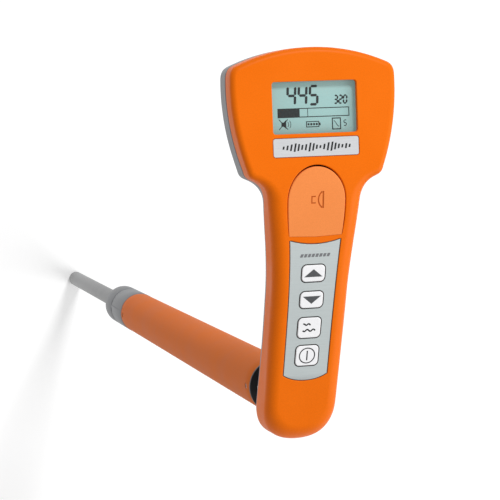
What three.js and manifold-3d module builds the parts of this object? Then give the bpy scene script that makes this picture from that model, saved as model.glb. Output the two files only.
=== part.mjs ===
// Electro-acoustic leak listening stick: a contact microphone on a steel probe rod,
// a carrying tube, and a hand-held receiver on a tilting neck at the top of the tube.
// Millimetres. Origin at the centre of the probe's tip, +Z up the stick, +Y from grip to head.

import * as THREE from 'three';
import { mergeVertices } from 'three/addons/utils/BufferGeometryUtils.js';
import Module from 'manifold-3d';

const wasm = await Module();
wasm.setup();

// ---- driving dimensions -------------------------------------------------------------------

const GAP = 0.3;               // air between neighbouring pieces
const ROUND = 40;              // sides of a large turned piece
const SMALL_ROUND = 16;        // sides of a screw, pin or boss

// stick, heights up the Z axis
const TUBE_R = 16;
const TUBE_WALL = 2;
const ROD_R = 7;
const ROD_TOP = 306;
const ROD_STUD_R = 4;
const ROD_STUD_LENGTH = 16;
const ROD_CHAMFER = 2;
const SENSOR_R = 16.2;
const CAP_TOP = 337.5;
const SEAL_SLOT = 2.7;
const SPIGOT_R = TUBE_R - TUBE_WALL - GAP;
const SPIGOT_LENGTH = 15;
const SENSOR_BORE_R = 12;
const TUBE_BOTTOM = 390;
const TUBE_TOP = 859;
const LOWER_SCREW_Z = TUBE_BOTTOM + 7;
const UPPER_SCREW_Z = TUBE_TOP - 9;
const LEAD_R = 1.6;
const LEAD_TOP = 838.5;
const LEAD_HOLE_R = 3;
const HOUSING_FLOOR = 384;     // floor of the housing, over the sensor's chamber
const CAP_SPIGOT = 8.5;        // length of the end cap's spigot inside the housing
const PIEZO = { radius: 9, thickness: 2 };
const MASS = { radius: 8, length: 12 };
const PREAMP = { radius: 11.2, thickness: 1.6 };
const SET_SCREW_R = 1.6;
const SET_SCREW_LENGTH = 3.2;

// swivel neck, heights above the top of the tube
const PIVOT_HEIGHT = 14;
const FLANGE_THICKNESS = 2.4;
const KNUCKLE_R = 7;
const TONGUE_HALF = 4.5;
const WASHER_THICKNESS = 1;
const EAR_WIDTH = 5;
const PIN_R = 2.5;
const PIN_HEAD_R = 4.2;
const PIN_HEAD_THICKNESS = 2;
const FORK_HALF_WIDTH = 12;
const FORK_PLATE = 5;
const NECK_PLUG = 20;
const NECK_SCREWS_Y = [-1, 13];
const NECK_SCREW_R = 1.6;

// receiver: side profile, y up the receiver and z above the top of the tube
const FACE_Z = 111;            // flat face of the head
const FACE_START_Y = 134;      // where the flat face begins
const GRIP_SLOPE = 0.445;      // fall of the grip's face, rise over run
const GRIP_BEND = new THREE.Vector2(50, 86);
const GRIP_END_Y = -24.2;
const HEAD_DEPTH = 30;
const GRIP_DEPTH = 36;
const HEAD_TOP_Y = 194.4;
const PARTING = { head: 12.5, grip: 18, end: 26 };   // front shell's depth below its face
const TAPER_DEPTH = 27;        // below this the rear shell draws in
const TAPER = { width: 0.93, length: 0.985, centreY: 90 };
const PARTING_GAP = 1.2;
const WALL = 2.6;
const HEAD_BACK_WALL = 4.5;

// receiver: front outline
const GRIP_HALF = 20.8;        // near its end
const HEAD_HALF = 45.2;
const HEAD_WIDEST_Y = 174;
const HEAD_SIDE_R = 130;
const HEAD_TOP_R = 101;

// display, plate and keypad
const WINDOW = { width: 46, height: 27.4, y: 162.5, recess: 1, round: 1.5, flange: 1.2, lap: 2 };
const PLATE = { width: 46.6, height: 9.8, y: 141.6, thickness: 0.5, round: 1.2 };
const KEYPAD = { topHalf: 14, waistHalf: 12.4, topY: 92, bottomY: 15.8, topSag: 2.3, bottomSag: 3.4 };
const OVERLAY_DEPTH = 1;
const KEY_WIDTH = 12.7;
const KEY_THICKNESS = 2.6;
const KEY_PROUD = 0.4;
const KEY_ROUND = 2.4;
const KEY_STEM = { radius: 2, length: 2.4, sink: 0.8 };
const KEY_BOARD = { width: 25, from: 18, to: 84, sink: 8.2 };
const KEYS = [
  { name: 'key_up', y: 73.6, height: 9.9 },
  { name: 'key_down', y: 58.8, height: 9.9 },
  { name: 'key_filter', y: 42.9, height: 12.6 },
  { name: 'key_power', y: 26.8, height: 12.7 },
];

// thumb button
const THUMB = { half: 15.7, topY: 131.3, wideY: 113, bottomHalf: 14.4, bottomY: 94.5, thickness: 2.8 };
const THUMB_TOP_CLEARANCE = 0.6;   // room for the upper edge as the button swings in
const THUMB_PIVOT_Y = 92.3;
const THUMB_PIVOT_DEPTH = 6;
const THUMB_PIN_R = 0.9;
const SWITCH_Y = 118;

// battery bay
const CELL_R = 7.25;
const CELL_LENGTH = 50.5;
const CELL_PITCH = 14.8;
const CELL_START_Y = 133;
const COVER_HALF = 33.2;
const COVER_THICKNESS = 2;
const COVER_START_Y = 128.3;

// screws that close the receiver: x, y and length of the right-hand one of each pair
const CASE_SCREWS = [[38, 170, 22], [18, 104, 26], [15.5, 2, 26]];
const BOSS_R = 3.2;

// ---- materials ----------------------------------------------------------------------------

const finish = (color, roughness, metalness = 0) => ({ color, roughness, metalness });
const ORANGE = finish(0xee7410, 0.45);
const TUBE_ORANGE = finish(0xd9742f, 0.6);
const GREY = finish(0x8c8e91, 0.6);
const BLACK = finish(0x141414, 0.6);
const STEEL = finish(0x9c9ea0, 0.35, 0.9);
const BRASS = finish(0xb08d4a, 0.35, 0.9);
const SILVER = finish(0xccd1d2, 0.4, 0.3);
const WHITE = finish(0xf2f2f4, 0.5);
const GLASS = finish(0xc8d8d6, 0.1);
const LCD = finish(0x9bbfbd, 0.3);
const BOARD = finish(0x1f6b3a, 0.6);
const CERAMIC = finish(0xe6dfcf, 0.7);
const CELL = finish(0x3a4658, 0.4, 0.4);

// ---- solids -------------------------------------------------------------------------------

// a closed geometry with shared corners and no zero-area triangles
function closed(geometry) {
  const bare = geometry.clone();
  bare.deleteAttribute('normal');
  bare.deleteAttribute('uv');
  const merged = mergeVertices(bare, 1e-4);
  const kept = [];
  const index = merged.index.array;
  for (let i = 0; i < index.length; i += 3) {
    const [a, b, c] = [index[i], index[i + 1], index[i + 2]];
    if (a !== b && b !== c && c !== a) kept.push(a, b, c);
  }
  merged.setIndex(kept);
  return merged;
}

function solid(geometry) {
  const shape = closed(geometry);
  return new wasm.Manifold(new wasm.Mesh({
    numProp: 3,
    vertProperties: new Float32Array(shape.attributes.position.array),
    triVerts: new Uint32Array(shape.index.array),
  }));
}

function geometryOf(body) {
  const mesh = body.getMesh();
  const geometry = new THREE.BufferGeometry();
  geometry.setAttribute('position', new THREE.BufferAttribute(mesh.vertProperties, 3));
  geometry.setIndex(new THREE.BufferAttribute(mesh.triVerts, 1));
  return geometry;
}

// [radius, height] pairs turned round the Z axis, outline run so that its faces point out
function turned(profile, sides = ROUND) {
  const points = profile.map(([radius, height]) => new THREE.Vector2(radius, height));
  return solid(new THREE.LatheGeometry(points, sides).rotateX(Math.PI / 2));
}

// a ring between two radii and two heights
function ring(inner, outer, low, high, sides = ROUND) {
  return turned([[inner, low], [outer, low], [outer, high], [inner, high], [inner, low]], sides);
}

function rod(radius, low, high, sides = SMALL_ROUND) {
  return turned([[0, low], [radius, low], [radius, high], [0, high]], sides);
}

// a rod along X
function crossRod(radius, from, to, y, z, sides = SMALL_ROUND) {
  const geometry = new THREE.CylinderGeometry(radius, radius, to - from, sides);
  return solid(geometry.rotateZ(Math.PI / 2).translate((from + to) / 2, y, z));
}

function block(width, depth, height, x, y, z) {
  return solid(new THREE.BoxGeometry(width, depth, height).translate(x, y, z));
}

// a front outline pushed through from one height to another
function punched(points, low, high) {
  const shape = new THREE.Shape(points);
  const options = { depth: high - low, bevelEnabled: false, curveSegments: 6 };
  return solid(new THREE.ExtrudeGeometry(shape, options).translate(0, 0, low));
}

// a side profile, y and z, pushed across from one x to another
function slice(points, from, to) {
  const options = { depth: to - from, bevelEnabled: false };
  const geometry = new THREE.ExtrudeGeometry(new THREE.Shape(points), options);
  geometry.translate(0, 0, from);
  const across = new THREE.Matrix4().makeBasis(
    new THREE.Vector3(0, 1, 0), new THREE.Vector3(0, 0, 1), new THREE.Vector3(1, 0, 0));
  return solid(geometry.applyMatrix4(across));
}

// ---- outlines -----------------------------------------------------------------------------

const vec = (x, y) => new THREE.Vector2(x, y);

// moves every corner of a closed anticlockwise outline inwards by one distance
function inset(points, distance) {
  return points.map((point, i) => {
    const before = points[(i + points.length - 1) % points.length];
    const after = points[(i + 1) % points.length];
    const a = point.clone().sub(before).normalize();
    const b = after.clone().sub(point).normalize();
    const inwards = vec(-a.y - b.y, a.x + b.x).normalize();
    const stretch = distance / Math.max(0.5, inwards.dot(vec(-a.y, a.x)));
    return point.clone().addScaledVector(inwards, stretch);
  });
}

function mirrored(half) {
  const left = half.filter((p) => p.x > 0.01).reverse().map((p) => vec(-p.x, p.y));
  return [...half, ...left];
}

function roundedBox(width, height, radius, centreY = 0) {
  const [x, y] = [width / 2, height / 2];
  const shape = new THREE.Shape();
  shape.moveTo(x, centreY - y + radius);
  shape.lineTo(x, centreY + y - radius);
  shape.absarc(x - radius, centreY + y - radius, radius, 0, Math.PI / 2);
  shape.absarc(-x + radius, centreY + y - radius, radius, Math.PI / 2, Math.PI);
  shape.absarc(-x + radius, centreY - y + radius, radius, Math.PI, Math.PI * 1.5);
  shape.absarc(x - radius, centreY - y + radius, radius, Math.PI * 1.5, Math.PI * 2);
  return shape.getPoints(3);
}

// right half of the receiver's front outline, from the grip's end round to the top
function receiverOutline() {
  const half = new THREE.Path();
  half.moveTo(0, GRIP_END_Y);
  half.bezierCurveTo(13, GRIP_END_Y, GRIP_HALF, -17.5, GRIP_HALF, -3);
  half.splineThru([vec(21.4, 30), vec(21.5, 60), vec(22.3, 84), vec(24.5, 104)]);
  half.lineTo(25.6, 113.5);
  half.bezierCurveTo(26.3, 120, 29.2, 123.2, 33.8, 125.1);
  half.quadraticCurveTo(36.5, 126.4, 37.4, 129.6);
  const side = Math.asin((HEAD_WIDEST_Y - 129.6) / HEAD_SIDE_R);
  half.absarc(HEAD_HALF - HEAD_SIDE_R, HEAD_WIDEST_Y, HEAD_SIDE_R, -side, 0.04);
  half.quadraticCurveTo(44.8, 183.9, 41.4, 185.5);
  const top = Math.acos(41.4 / HEAD_TOP_R);
  half.absarc(0, HEAD_TOP_Y - HEAD_TOP_R, HEAD_TOP_R, top, Math.PI / 2);
  return mirrored(half.getPoints(3));
}

// the line of the receiver's face, from the grip's end to beyond the head, moved by an offset
function faceLine(offset) {
  const far = -45;
  const line = new THREE.Path();
  line.moveTo(far, GRIP_BEND.y + GRIP_SLOPE * (far - GRIP_BEND.x) + offset);
  line.lineTo(GRIP_BEND.x, GRIP_BEND.y + offset);
  const kneeY = GRIP_BEND.x + (FACE_Z - GRIP_BEND.y) / GRIP_SLOPE;
  line.quadraticCurveTo(kneeY, FACE_Z + offset, FACE_START_Y, FACE_Z + offset);
  line.lineTo(205, FACE_Z + offset);
  return line.getPoints(6);
}

// height and slope of the face at one y
function faceAt(y) {
  const line = faceLine(0);
  const next = line.findIndex((point) => point.x > y);
  const [a, b] = [line[next - 1], line[next]];
  const slope = (b.y - a.y) / (b.x - a.x);
  return { z: a.y + slope * (y - a.x), tilt: Math.atan(slope) };
}

// how deep below the face the two shells meet, deeper down the grip
function partingDepth(y) {
  const { head, grip, end } = PARTING;
  const { smoothstep } = THREE.MathUtils;
  return end + (grip - end) * smoothstep(y, -22, 45) + (head - grip) * smoothstep(y, 95, 132);
}

function partingLine(offset) {
  const places = [-45, -22, -12, -2, 8, 18, 28, 38, 45, 50, 64, 78, 95, 104, 113, 122, 132, 134, 200];
  return places.map((y) => vec(y, faceAt(y).z - partingDepth(y) + offset));
}

// everything between two depths under the face
function band(low, high, half = 60) {
  return slice([...faceLine(low), ...faceLine(high).reverse()], -half, half);
}

// the receiver's side profile, anticlockwise seen from +X
function receiverProfile() {
  const backHead = FACE_Z - HEAD_DEPTH;
  const gripBack = (y) => GRIP_BEND.y + GRIP_SLOPE * (y - GRIP_BEND.x) - GRIP_DEPTH;
  const kneeY = GRIP_BEND.x + (backHead - GRIP_BEND.y + GRIP_DEPTH) / GRIP_SLOPE;
  const side = new THREE.Path();
  side.moveTo(-6, gripBack(-6));
  side.lineTo(75, gripBack(75));
  side.quadraticCurveTo(kneeY, backHead, 140, backHead);
  side.lineTo(200, backHead);
  side.lineTo(200, FACE_Z);
  const face = faceLine(0).filter((p) => p.x > -9 && p.x < 199).reverse();
  for (const point of face) side.lineTo(point.x, point.y);
  side.lineTo(-9, faceAt(-9).z);
  side.quadraticCurveTo(-22.5, 53.5, GRIP_END_Y - 0.3, 42);
  side.quadraticCurveTo(-25.5, 17, -6, gripBack(-6));
  return side.getPoints(6).slice(0, -1);
}

function keypadOutline() {
  const { topHalf, waistHalf, topY, bottomY, topSag, bottomSag } = KEYPAD;
  const half = new THREE.Path();
  half.moveTo(0, bottomY - bottomSag);
  half.quadraticCurveTo(waistHalf * 0.6, bottomY - bottomSag, waistHalf, bottomY);
  half.bezierCurveTo(waistHalf, 45, waistHalf, 70, topHalf, topY);
  half.quadraticCurveTo(topHalf * 0.5, topY - topSag, 0, topY - topSag);
  return mirrored(half.getPoints(6));
}

function thumbOutline(topY) {
  const { half: wide, wideY, bottomHalf, bottomY } = THUMB;
  const half = new THREE.Path();
  half.moveTo(0, bottomY - 0.6);
  half.lineTo(bottomHalf, bottomY);
  half.quadraticCurveTo(wide, 103, wide, wideY);
  half.absellipse(0, wideY, wide, topY - wideY, 0, Math.PI / 2);
  return mirrored(half.getPoints(5));
}

// ---- building the scene -------------------------------------------------------------------

const listeningStick = new THREE.Group();
const stick = new THREE.Group();
const receiver = new THREE.Group();
receiver.position.z = TUBE_TOP;
listeningStick.add(stick, receiver);

function addPiece(group, name, body, look) {
  const mesh = new THREE.Mesh(geometryOf(body), new THREE.MeshStandardMaterial(look));
  mesh.name = name;
  group.add(mesh);
  return mesh;
}

// ---- probe and contact microphone ---------------------------------------------------------

function probeRod() {
  const shoulder = ROD_TOP - GAP;
  return turned([[0, 0], [ROD_R - ROD_CHAMFER, 0], [ROD_R, ROD_CHAMFER], [ROD_R, shoulder],
    [ROD_STUD_R, shoulder], [ROD_STUD_R, shoulder + ROD_STUD_LENGTH], [0, shoulder + ROD_STUD_LENGTH]]);
}

function sensorCap() {
  const socketTop = ROD_TOP + ROD_STUD_LENGTH + 1;
  const chamfer = 1.2;
  const spigot = SENSOR_BORE_R - GAP;
  return turned([[0, socketTop], [ROD_STUD_R + GAP, socketTop], [ROD_STUD_R + GAP, ROD_TOP],
    [SENSOR_R - chamfer, ROD_TOP], [SENSOR_R, ROD_TOP + chamfer], [SENSOR_R, CAP_TOP],
    [spigot, CAP_TOP], [spigot, CAP_TOP + CAP_SPIGOT], [0, CAP_TOP + CAP_SPIGOT]]);
}

// key of the housing that crosses the seal and stops the cap from turning
function capKey(spare) {
  const width = 2.4 + 2 * spare;
  return block(4 + spare, width, SEAL_SLOT - GAP + 2 * spare,
    -SENSOR_R + 2 - spare / 2, 2, CAP_TOP + GAP + (SEAL_SLOT - GAP) / 2);
}

function capSeal() {
  const seal = ring(SENSOR_BORE_R, SENSOR_R - 0.5, CAP_TOP + GAP, CAP_TOP + SEAL_SLOT - GAP);
  return seal.subtract(capKey(GAP + 0.5));
}

function sensorHousing() {
  const low = CAP_TOP + SEAL_SLOT;
  const top = TUBE_BOTTOM - GAP;
  const body = turned([[SENSOR_BORE_R, low], [SENSOR_R, low], [SENSOR_R, top], [SPIGOT_R, top],
    [SPIGOT_R, top + SPIGOT_LENGTH], [LEAD_HOLE_R, top + SPIGOT_LENGTH], [LEAD_HOLE_R, HOUSING_FLOOR],
    [SENSOR_BORE_R, HOUSING_FLOOR], [SENSOR_BORE_R, low]]);
  const key = capKey(0).intersect(ring(SENSOR_BORE_R + GAP, SENSOR_R, 0, TUBE_TOP));
  return body.add(key).subtract(setScrewHole(LOWER_SCREW_Z));
}

function setScrew(height) {
  const outside = -TUBE_R + GAP;
  return crossRod(SET_SCREW_R, outside, outside + SET_SCREW_LENGTH, 0, height);
}

function setScrewHole(height) {
  return crossRod(SET_SCREW_R + GAP, -TUBE_R - 1, -TUBE_R + SET_SCREW_LENGTH + 2, 0, height);
}

function carryingTube() {
  return ring(TUBE_R - TUBE_WALL, TUBE_R, TUBE_BOTTOM, TUBE_TOP)
    .subtract(setScrewHole(LOWER_SCREW_Z))
    .subtract(setScrewHole(UPPER_SCREW_Z));
}

addPiece(stick, 'probe_rod', probeRod(), STEEL);
addPiece(stick, 'sensor_end_cap', sensorCap(), GREY);
addPiece(stick, 'cap_seal_ring', capSeal(), BLACK);
addPiece(stick, 'sensor_housing', sensorHousing(), GREY);
const PIEZO_Z = CAP_TOP + CAP_SPIGOT + GAP;
const MASS_Z = PIEZO_Z + PIEZO.thickness + GAP;
const PREAMP_Z = HOUSING_FLOOR - GAP - PREAMP.thickness;
addPiece(stick, 'piezo_element', rod(PIEZO.radius, PIEZO_Z, PIEZO_Z + PIEZO.thickness, ROUND), CERAMIC);
addPiece(stick, 'seismic_mass', rod(MASS.radius, MASS_Z, MASS_Z + MASS.length, ROUND), BRASS);
addPiece(stick, 'preamp_board', rod(PREAMP.radius, PREAMP_Z, PREAMP_Z + PREAMP.thickness, ROUND), BOARD);
addPiece(stick, 'sensor_lead', rod(LEAD_R, HOUSING_FLOOR, LEAD_TOP), BLACK);
addPiece(stick, 'carrying_tube', carryingTube(), TUBE_ORANGE);
addPiece(stick, 'set_screw_lower', setScrew(LOWER_SCREW_Z), STEEL);
addPiece(stick, 'set_screw_upper', setScrew(UPPER_SCREW_Z), STEEL);

// ---- swivel neck --------------------------------------------------------------------------

const EAR_START = TONGUE_HALF + WASHER_THICKNESS + 2 * GAP;
const EAR_END = EAR_START + EAR_WIDTH;

function swivelBase() {
  const plug = turned([[0, -NECK_PLUG], [SPIGOT_R - 1, -NECK_PLUG], [SPIGOT_R, 1 - NECK_PLUG],
    [SPIGOT_R, GAP], [TUBE_R, GAP], [TUBE_R, FLANGE_THICKNESS], [0, FLANGE_THICKNESS]]);
  const tongue = block(2 * TONGUE_HALF, 2 * KNUCKLE_R, PIVOT_HEIGHT - 1, 0, 0, (PIVOT_HEIGHT + 1) / 2)
    .add(crossRod(KNUCKLE_R, -TONGUE_HALF, TONGUE_HALF, 0, PIVOT_HEIGHT, ROUND));
  return plug.add(tongue)
    .subtract(crossRod(PIN_R + GAP, -20, 20, 0, PIVOT_HEIGHT))
    .subtract(setScrewHole(UPPER_SCREW_Z - TUBE_TOP));
}

function swivelFork() {
  const gripBack = (y) => faceAt(y).z - GRIP_DEPTH;
  const plate = slice([vec(-12, gripBack(-12) - FORK_PLATE), vec(18, gripBack(18) - FORK_PLATE),
    vec(18, gripBack(18) - GAP), vec(-12, gripBack(-12) - GAP)], -FORK_HALF_WIDTH, FORK_HALF_WIDTH);
  let fork = plate;
  for (const start of [EAR_START, -EAR_END]) {
    const web = slice([vec(-KNUCKLE_R, PIVOT_HEIGHT), vec(KNUCKLE_R, PIVOT_HEIGHT),
      vec(15, gripBack(15) - 2), vec(-10, gripBack(-10) - 2)], start, start + EAR_WIDTH);
    fork = fork.add(web).add(crossRod(KNUCKLE_R, start, start + EAR_WIDTH, 0, PIVOT_HEIGHT, ROUND));
  }
  fork = fork.subtract(crossRod(PIN_R + GAP, -20, 20, 0, PIVOT_HEIGHT));
  for (const y of NECK_SCREWS_Y) fork = fork.subtract(neckScrewHole(y));
  return fork;
}

// a neck screw lies square to the grip's sloping back
function atGripBack(geometry, y) {
  const { z, tilt } = faceAt(y);
  return solid(geometry.rotateX(Math.PI / 2).rotateX(tilt).translate(0, y, z - GRIP_DEPTH));
}

function neckScrew(y) {
  const [headLow, headHigh, tip] = [WALL + 0.1, WALL + 2.1, -3.4];
  const profile = [[0, tip], [NECK_SCREW_R, tip], [NECK_SCREW_R, headLow], [3, headLow],
    [3, headHigh], [0, headHigh]].map(([r, h]) => vec(r, h));
  return atGripBack(new THREE.LatheGeometry(profile, SMALL_ROUND), y);
}

function neckScrewHole(y) {
  const hole = new THREE.CylinderGeometry(NECK_SCREW_R + GAP, NECK_SCREW_R + GAP, 16, SMALL_ROUND);
  return atGripBack(hole, y);
}

function hingePin() {
  return crossRod(PIN_R, -EAR_END - PIN_HEAD_THICKNESS - 0.6, EAR_END + 1, 0, PIVOT_HEIGHT)
    .add(crossRod(PIN_HEAD_R, EAR_END + GAP, EAR_END + GAP + PIN_HEAD_THICKNESS, 0, PIVOT_HEIGHT));
}

// a ring on the hinge's axis
function crossRing(inner, outer, from, to, sides = 24) {
  return crossRod(outer, from, to, 0, PIVOT_HEIGHT, sides)
    .subtract(crossRod(inner, from - 1, to + 1, 0, PIVOT_HEIGHT, sides));
}

addPiece(receiver, 'swivel_base', swivelBase(), BLACK);
addPiece(receiver, 'swivel_fork', swivelFork(), BLACK);
addPiece(receiver, 'hinge_pin', hingePin(), STEEL);
const NUT_OUTSIDE = -EAR_END - GAP;
addPiece(receiver, 'hinge_nut',
  crossRing(PIN_R + GAP, PIN_HEAD_R, NUT_OUTSIDE - PIN_HEAD_THICKNESS, NUT_OUTSIDE), STEEL);
const WASHER_START = TONGUE_HALF + GAP;
const WASHER_END = WASHER_START + WASHER_THICKNESS;
addPiece(receiver, 'friction_washer_right',
  crossRing(PIN_R + GAP, KNUCKLE_R - 0.5, WASHER_START, WASHER_END), BRASS);
addPiece(receiver, 'friction_washer_left',
  crossRing(PIN_R + GAP, KNUCKLE_R - 0.5, -WASHER_END, -WASHER_START), BRASS);
NECK_SCREWS_Y.forEach((y, i) => addPiece(receiver, `neck_screw_${i + 1}`, neckScrew(y), STEEL));

// ---- receiver shells ----------------------------------------------------------------------

const outline = receiverOutline();
const profile = receiverProfile();
const LOW = -20;
const HIGH = 130;

// the receiver's outer form less one wall thickness, drawn in behind the taper's depth
function bodyForm(wall) {
  const rim = inset(outline, wall);
  const drawnIn = rim.map(({ x, y }) =>
    vec(x * TAPER.width, TAPER.centreY + (y - TAPER.centreY) * TAPER.length));
  const front = punched(rim, LOW, HIGH).intersect(band(-TAPER_DEPTH, 60));
  const back = punched(drawnIn, LOW, HIGH).intersect(band(-90, -TAPER_DEPTH + 1));
  return front.add(back).intersect(slice(inset(profile, wall), -60, 60));
}

const fullBody = bodyForm(0);

// the hollow inside both shells, with a thicker back behind the battery bay
function cavity() {
  const back = FACE_Z - HEAD_DEPTH + HEAD_BACK_WALL;
  return bodyForm(WALL).subtract(block(120, 80, 20, 0, 160, back - 10));
}

// both screws of every pair: x, y, height of the shell's back there, length
function caseScrewPlaces() {
  return CASE_SCREWS.flatMap(([x, y, length]) => [[x, y, backAt(y), length], [-x, y, backAt(y), length]]);
}

// height of the receiver's back at one y
function backAt(y) {
  const next = profile.findIndex((p) => p.x > y);
  const [a, b] = [profile[next - 1], profile[next]];
  return a.y + ((b.y - a.y) * (y - a.x)) / (b.x - a.x);
}

const SCREW_R = 1.4;
const SCREW_HEAD_R = 2.7;
const SCREW_HEAD = 2;
const SCREW_SUNK = 2.2;

function caseScrew([x, y, back, length]) {
  const low = back + SCREW_SUNK;
  return rod(SCREW_HEAD_R, low, low + SCREW_HEAD)
    .add(rod(SCREW_R, low + 1, low + length)).translate([x, y, 0]);
}

function caseScrewHole([x, y, back, length]) {
  const seat = back + SCREW_SUNK + SCREW_HEAD + GAP;
  return rod(SCREW_HEAD_R + GAP, back - 10, seat)
    .add(rod(SCREW_R + GAP, seat - 1, seat + length - 1)).translate([x, y, 0]);
}

function hollowBody() {
  let body = fullBody.subtract(cavity());
  for (const [x, y] of caseScrewPlaces()) {
    const post = rod(BOSS_R, LOW, HIGH).translate([x, y, 0]);
    body = body.add(post.intersect(fullBody));
  }
  for (const place of caseScrewPlaces()) body = body.subtract(caseScrewHole(place));
  return body;
}

const hollow = hollowBody();

// a key-shaped prism square to the face at the key's place
function keyPrism(key, spare, low, high) {
  const { z, tilt } = faceAt(key.y);
  const shape = new THREE.Shape(roundedBox(KEY_WIDTH + 2 * spare, key.height + 2 * spare, KEY_ROUND + spare));
  const geometry = new THREE.ExtrudeGeometry(shape, { depth: high - low, bevelEnabled: false });
  return solid(geometry.translate(0, 0, low).rotateX(tilt).translate(0, key.y, z));
}

function thumbPivot() {
  return { y: THUMB_PIVOT_Y, z: faceAt(THUMB_PIVOT_Y).z - THUMB_PIVOT_DEPTH };
}

// ears under the strip of shell between keypad and thumb button
function pivotEars() {
  const { y, z } = thumbPivot();
  const side = [vec(y - 1.5, z - 1.9), vec(y + 1.5, z - 1.9),
    vec(y + 1.5, faceAt(y + 1.5).z - 1.5), vec(y - 1.5, faceAt(y - 1.5).z - 1.5)];
  return slice(side, 12.2, 14.4).add(slice(side, -14.4, -12.2));
}

function frontShell() {
  const above = [...partingLine(PARTING_GAP / 2), vec(200, 180), vec(-45, 180)];
  let shell = hollow.intersect(slice(above, -60, 60));
  const window = roundedBox(WINDOW.width, WINDOW.height, WINDOW.round, WINDOW.y);
  shell = shell.subtract(punched(window, FACE_Z - 8, HIGH));
  const plate = roundedBox(PLATE.width + 2 * GAP, PLATE.height + 2 * GAP, PLATE.round, PLATE.y);
  shell = shell.subtract(punched(plate, FACE_Z - PLATE.thickness - GAP - 0.1, HIGH));
  const recess = punched(inset(keypadOutline(), -GAP), LOW, HIGH).intersect(band(-OVERLAY_DEPTH, 20));
  shell = shell.subtract(recess).add(pivotEars());
  for (const key of KEYS) shell = shell.subtract(keyPrism(key, GAP, -8, 8));
  const pivot = thumbPivot();
  shell = shell.subtract(crossRod(THUMB_PIN_R + GAP, -15, 15, pivot.y, pivot.z, 12));
  const opening = inset(thumbOutline(THUMB.topY + THUMB_TOP_CLEARANCE), -GAP);
  return shell.subtract(punched(opening, FACE_Z - 16, HIGH));
}

function coverRecess(spare) {
  const back = FACE_Z - HEAD_DEPTH;
  const length = 90;
  return block(2 * (COVER_HALF + spare), length, 2 * (COVER_THICKNESS + spare), 0,
    COVER_START_Y - spare + length / 2, back);
}

function rearShell() {
  const below = [vec(-45, -60), vec(200, -60), ...partingLine(-PARTING_GAP / 2).reverse()];
  const bay = { width: 4 * CELL_PITCH + 1.2, length: CELL_LENGTH + 1.2 };
  let shell = hollow.intersect(slice(below, -60, 60))
    .subtract(coverRecess(GAP))
    .subtract(block(bay.width, bay.length, 12, 0, CELL_START_Y + CELL_LENGTH / 2, FACE_Z - HEAD_DEPTH + 3));
  for (const y of NECK_SCREWS_Y) shell = shell.subtract(neckScrewHole(y));
  return shell;
}

function shellGasket() {
  const thickness = PARTING_GAP / 2 - GAP;
  const rim = punched(inset(outline, 0.5), LOW, HIGH).subtract(punched(inset(outline, WALL - 0.2), LOW, HIGH));
  return rim.intersect(slice(inset(profile, 0.5), -60, 60))
    .intersect(slice([...partingLine(-thickness), ...partingLine(thickness).reverse()], -60, 60));
}

function batteryCover() {
  return coverRecess(0).intersect(fullBody);
}

addPiece(receiver, 'front_shell', frontShell(), ORANGE);
addPiece(receiver, 'rear_shell', rearShell(), GREY);
addPiece(receiver, 'shell_gasket', shellGasket(), BLACK);
addPiece(receiver, 'battery_cover', batteryCover(), GREY);
caseScrewPlaces().forEach((place, i) => addPiece(receiver, `case_screw_${i + 1}`, caseScrew(place), STEEL));

// ---- display, boards and cells ------------------------------------------------------------

// a flat plate centred in x, between two heights
function plateAt(width, height, y, low, high) {
  return block(width, height, high - low, 0, y, (low + high) / 2);
}

function displayWindow() {
  const under = FACE_Z - WALL - GAP;
  const land = roundedBox(WINDOW.width - 2 * GAP, WINDOW.height - 2 * GAP, WINDOW.round - GAP, WINDOW.y);
  return punched(land, under - WINDOW.flange / 2, FACE_Z - WINDOW.recess)
    .add(plateAt(WINDOW.width + 2 * WINDOW.lap, WINDOW.height + 2 * WINDOW.lap, WINDOW.y,
      under - WINDOW.flange, under));
}

const LCD_SIZE = { width: 48, height: 29.4 };
const BACKLIGHT_SIZE = { width: 49, height: 30.4 };
const MAIN_BOARD = { width: 68, height: 48, y: 158 };
const LENS_BACK = FACE_Z - WALL - GAP - WINDOW.flange;
const LCD_THICKNESS = 2;
const BACKLIGHT_THICKNESS = 2.2;
const BOARD_THICKNESS = 1.6;
const LCD_BACK = LENS_BACK - GAP - LCD_THICKNESS;
const BACKLIGHT_BACK = LCD_BACK - GAP - BACKLIGHT_THICKNESS;
const BOARD_TOP = BACKLIGHT_BACK - GAP;
const CELL_Z = FACE_Z - HEAD_DEPTH + COVER_THICKNESS + 2 * GAP + CELL_R;

addPiece(receiver, 'display_window', displayWindow(), GLASS);
addPiece(receiver, 'lcd_panel',
  plateAt(LCD_SIZE.width, LCD_SIZE.height, WINDOW.y, LCD_BACK, LENS_BACK - GAP), LCD);
addPiece(receiver, 'lcd_backlight',
  plateAt(BACKLIGHT_SIZE.width, BACKLIGHT_SIZE.height, WINDOW.y, BACKLIGHT_BACK, LCD_BACK - GAP), WHITE);
addPiece(receiver, 'main_board',
  plateAt(MAIN_BOARD.width, MAIN_BOARD.height, MAIN_BOARD.y, BOARD_TOP - BOARD_THICKNESS, BOARD_TOP), BOARD);
const typePlate = roundedBox(PLATE.width, PLATE.height, PLATE.round, PLATE.y);
addPiece(receiver, 'type_plate',
  punched(typePlate, FACE_Z - PLATE.thickness - 0.1, FACE_Z - 0.1), SILVER);

// an AA cell along Y with its small positive cap
function cell(x) {
  const body = [[0, 0], [CELL_R, 0], [CELL_R, CELL_LENGTH - 1.2], [2.6, CELL_LENGTH - 1.2],
    [2.6, CELL_LENGTH], [0, CELL_LENGTH]].map(([r, h]) => vec(r, h));
  const geometry = new THREE.LatheGeometry(body, 24);
  return solid(geometry.translate(x, CELL_START_Y, CELL_Z));
}

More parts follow.
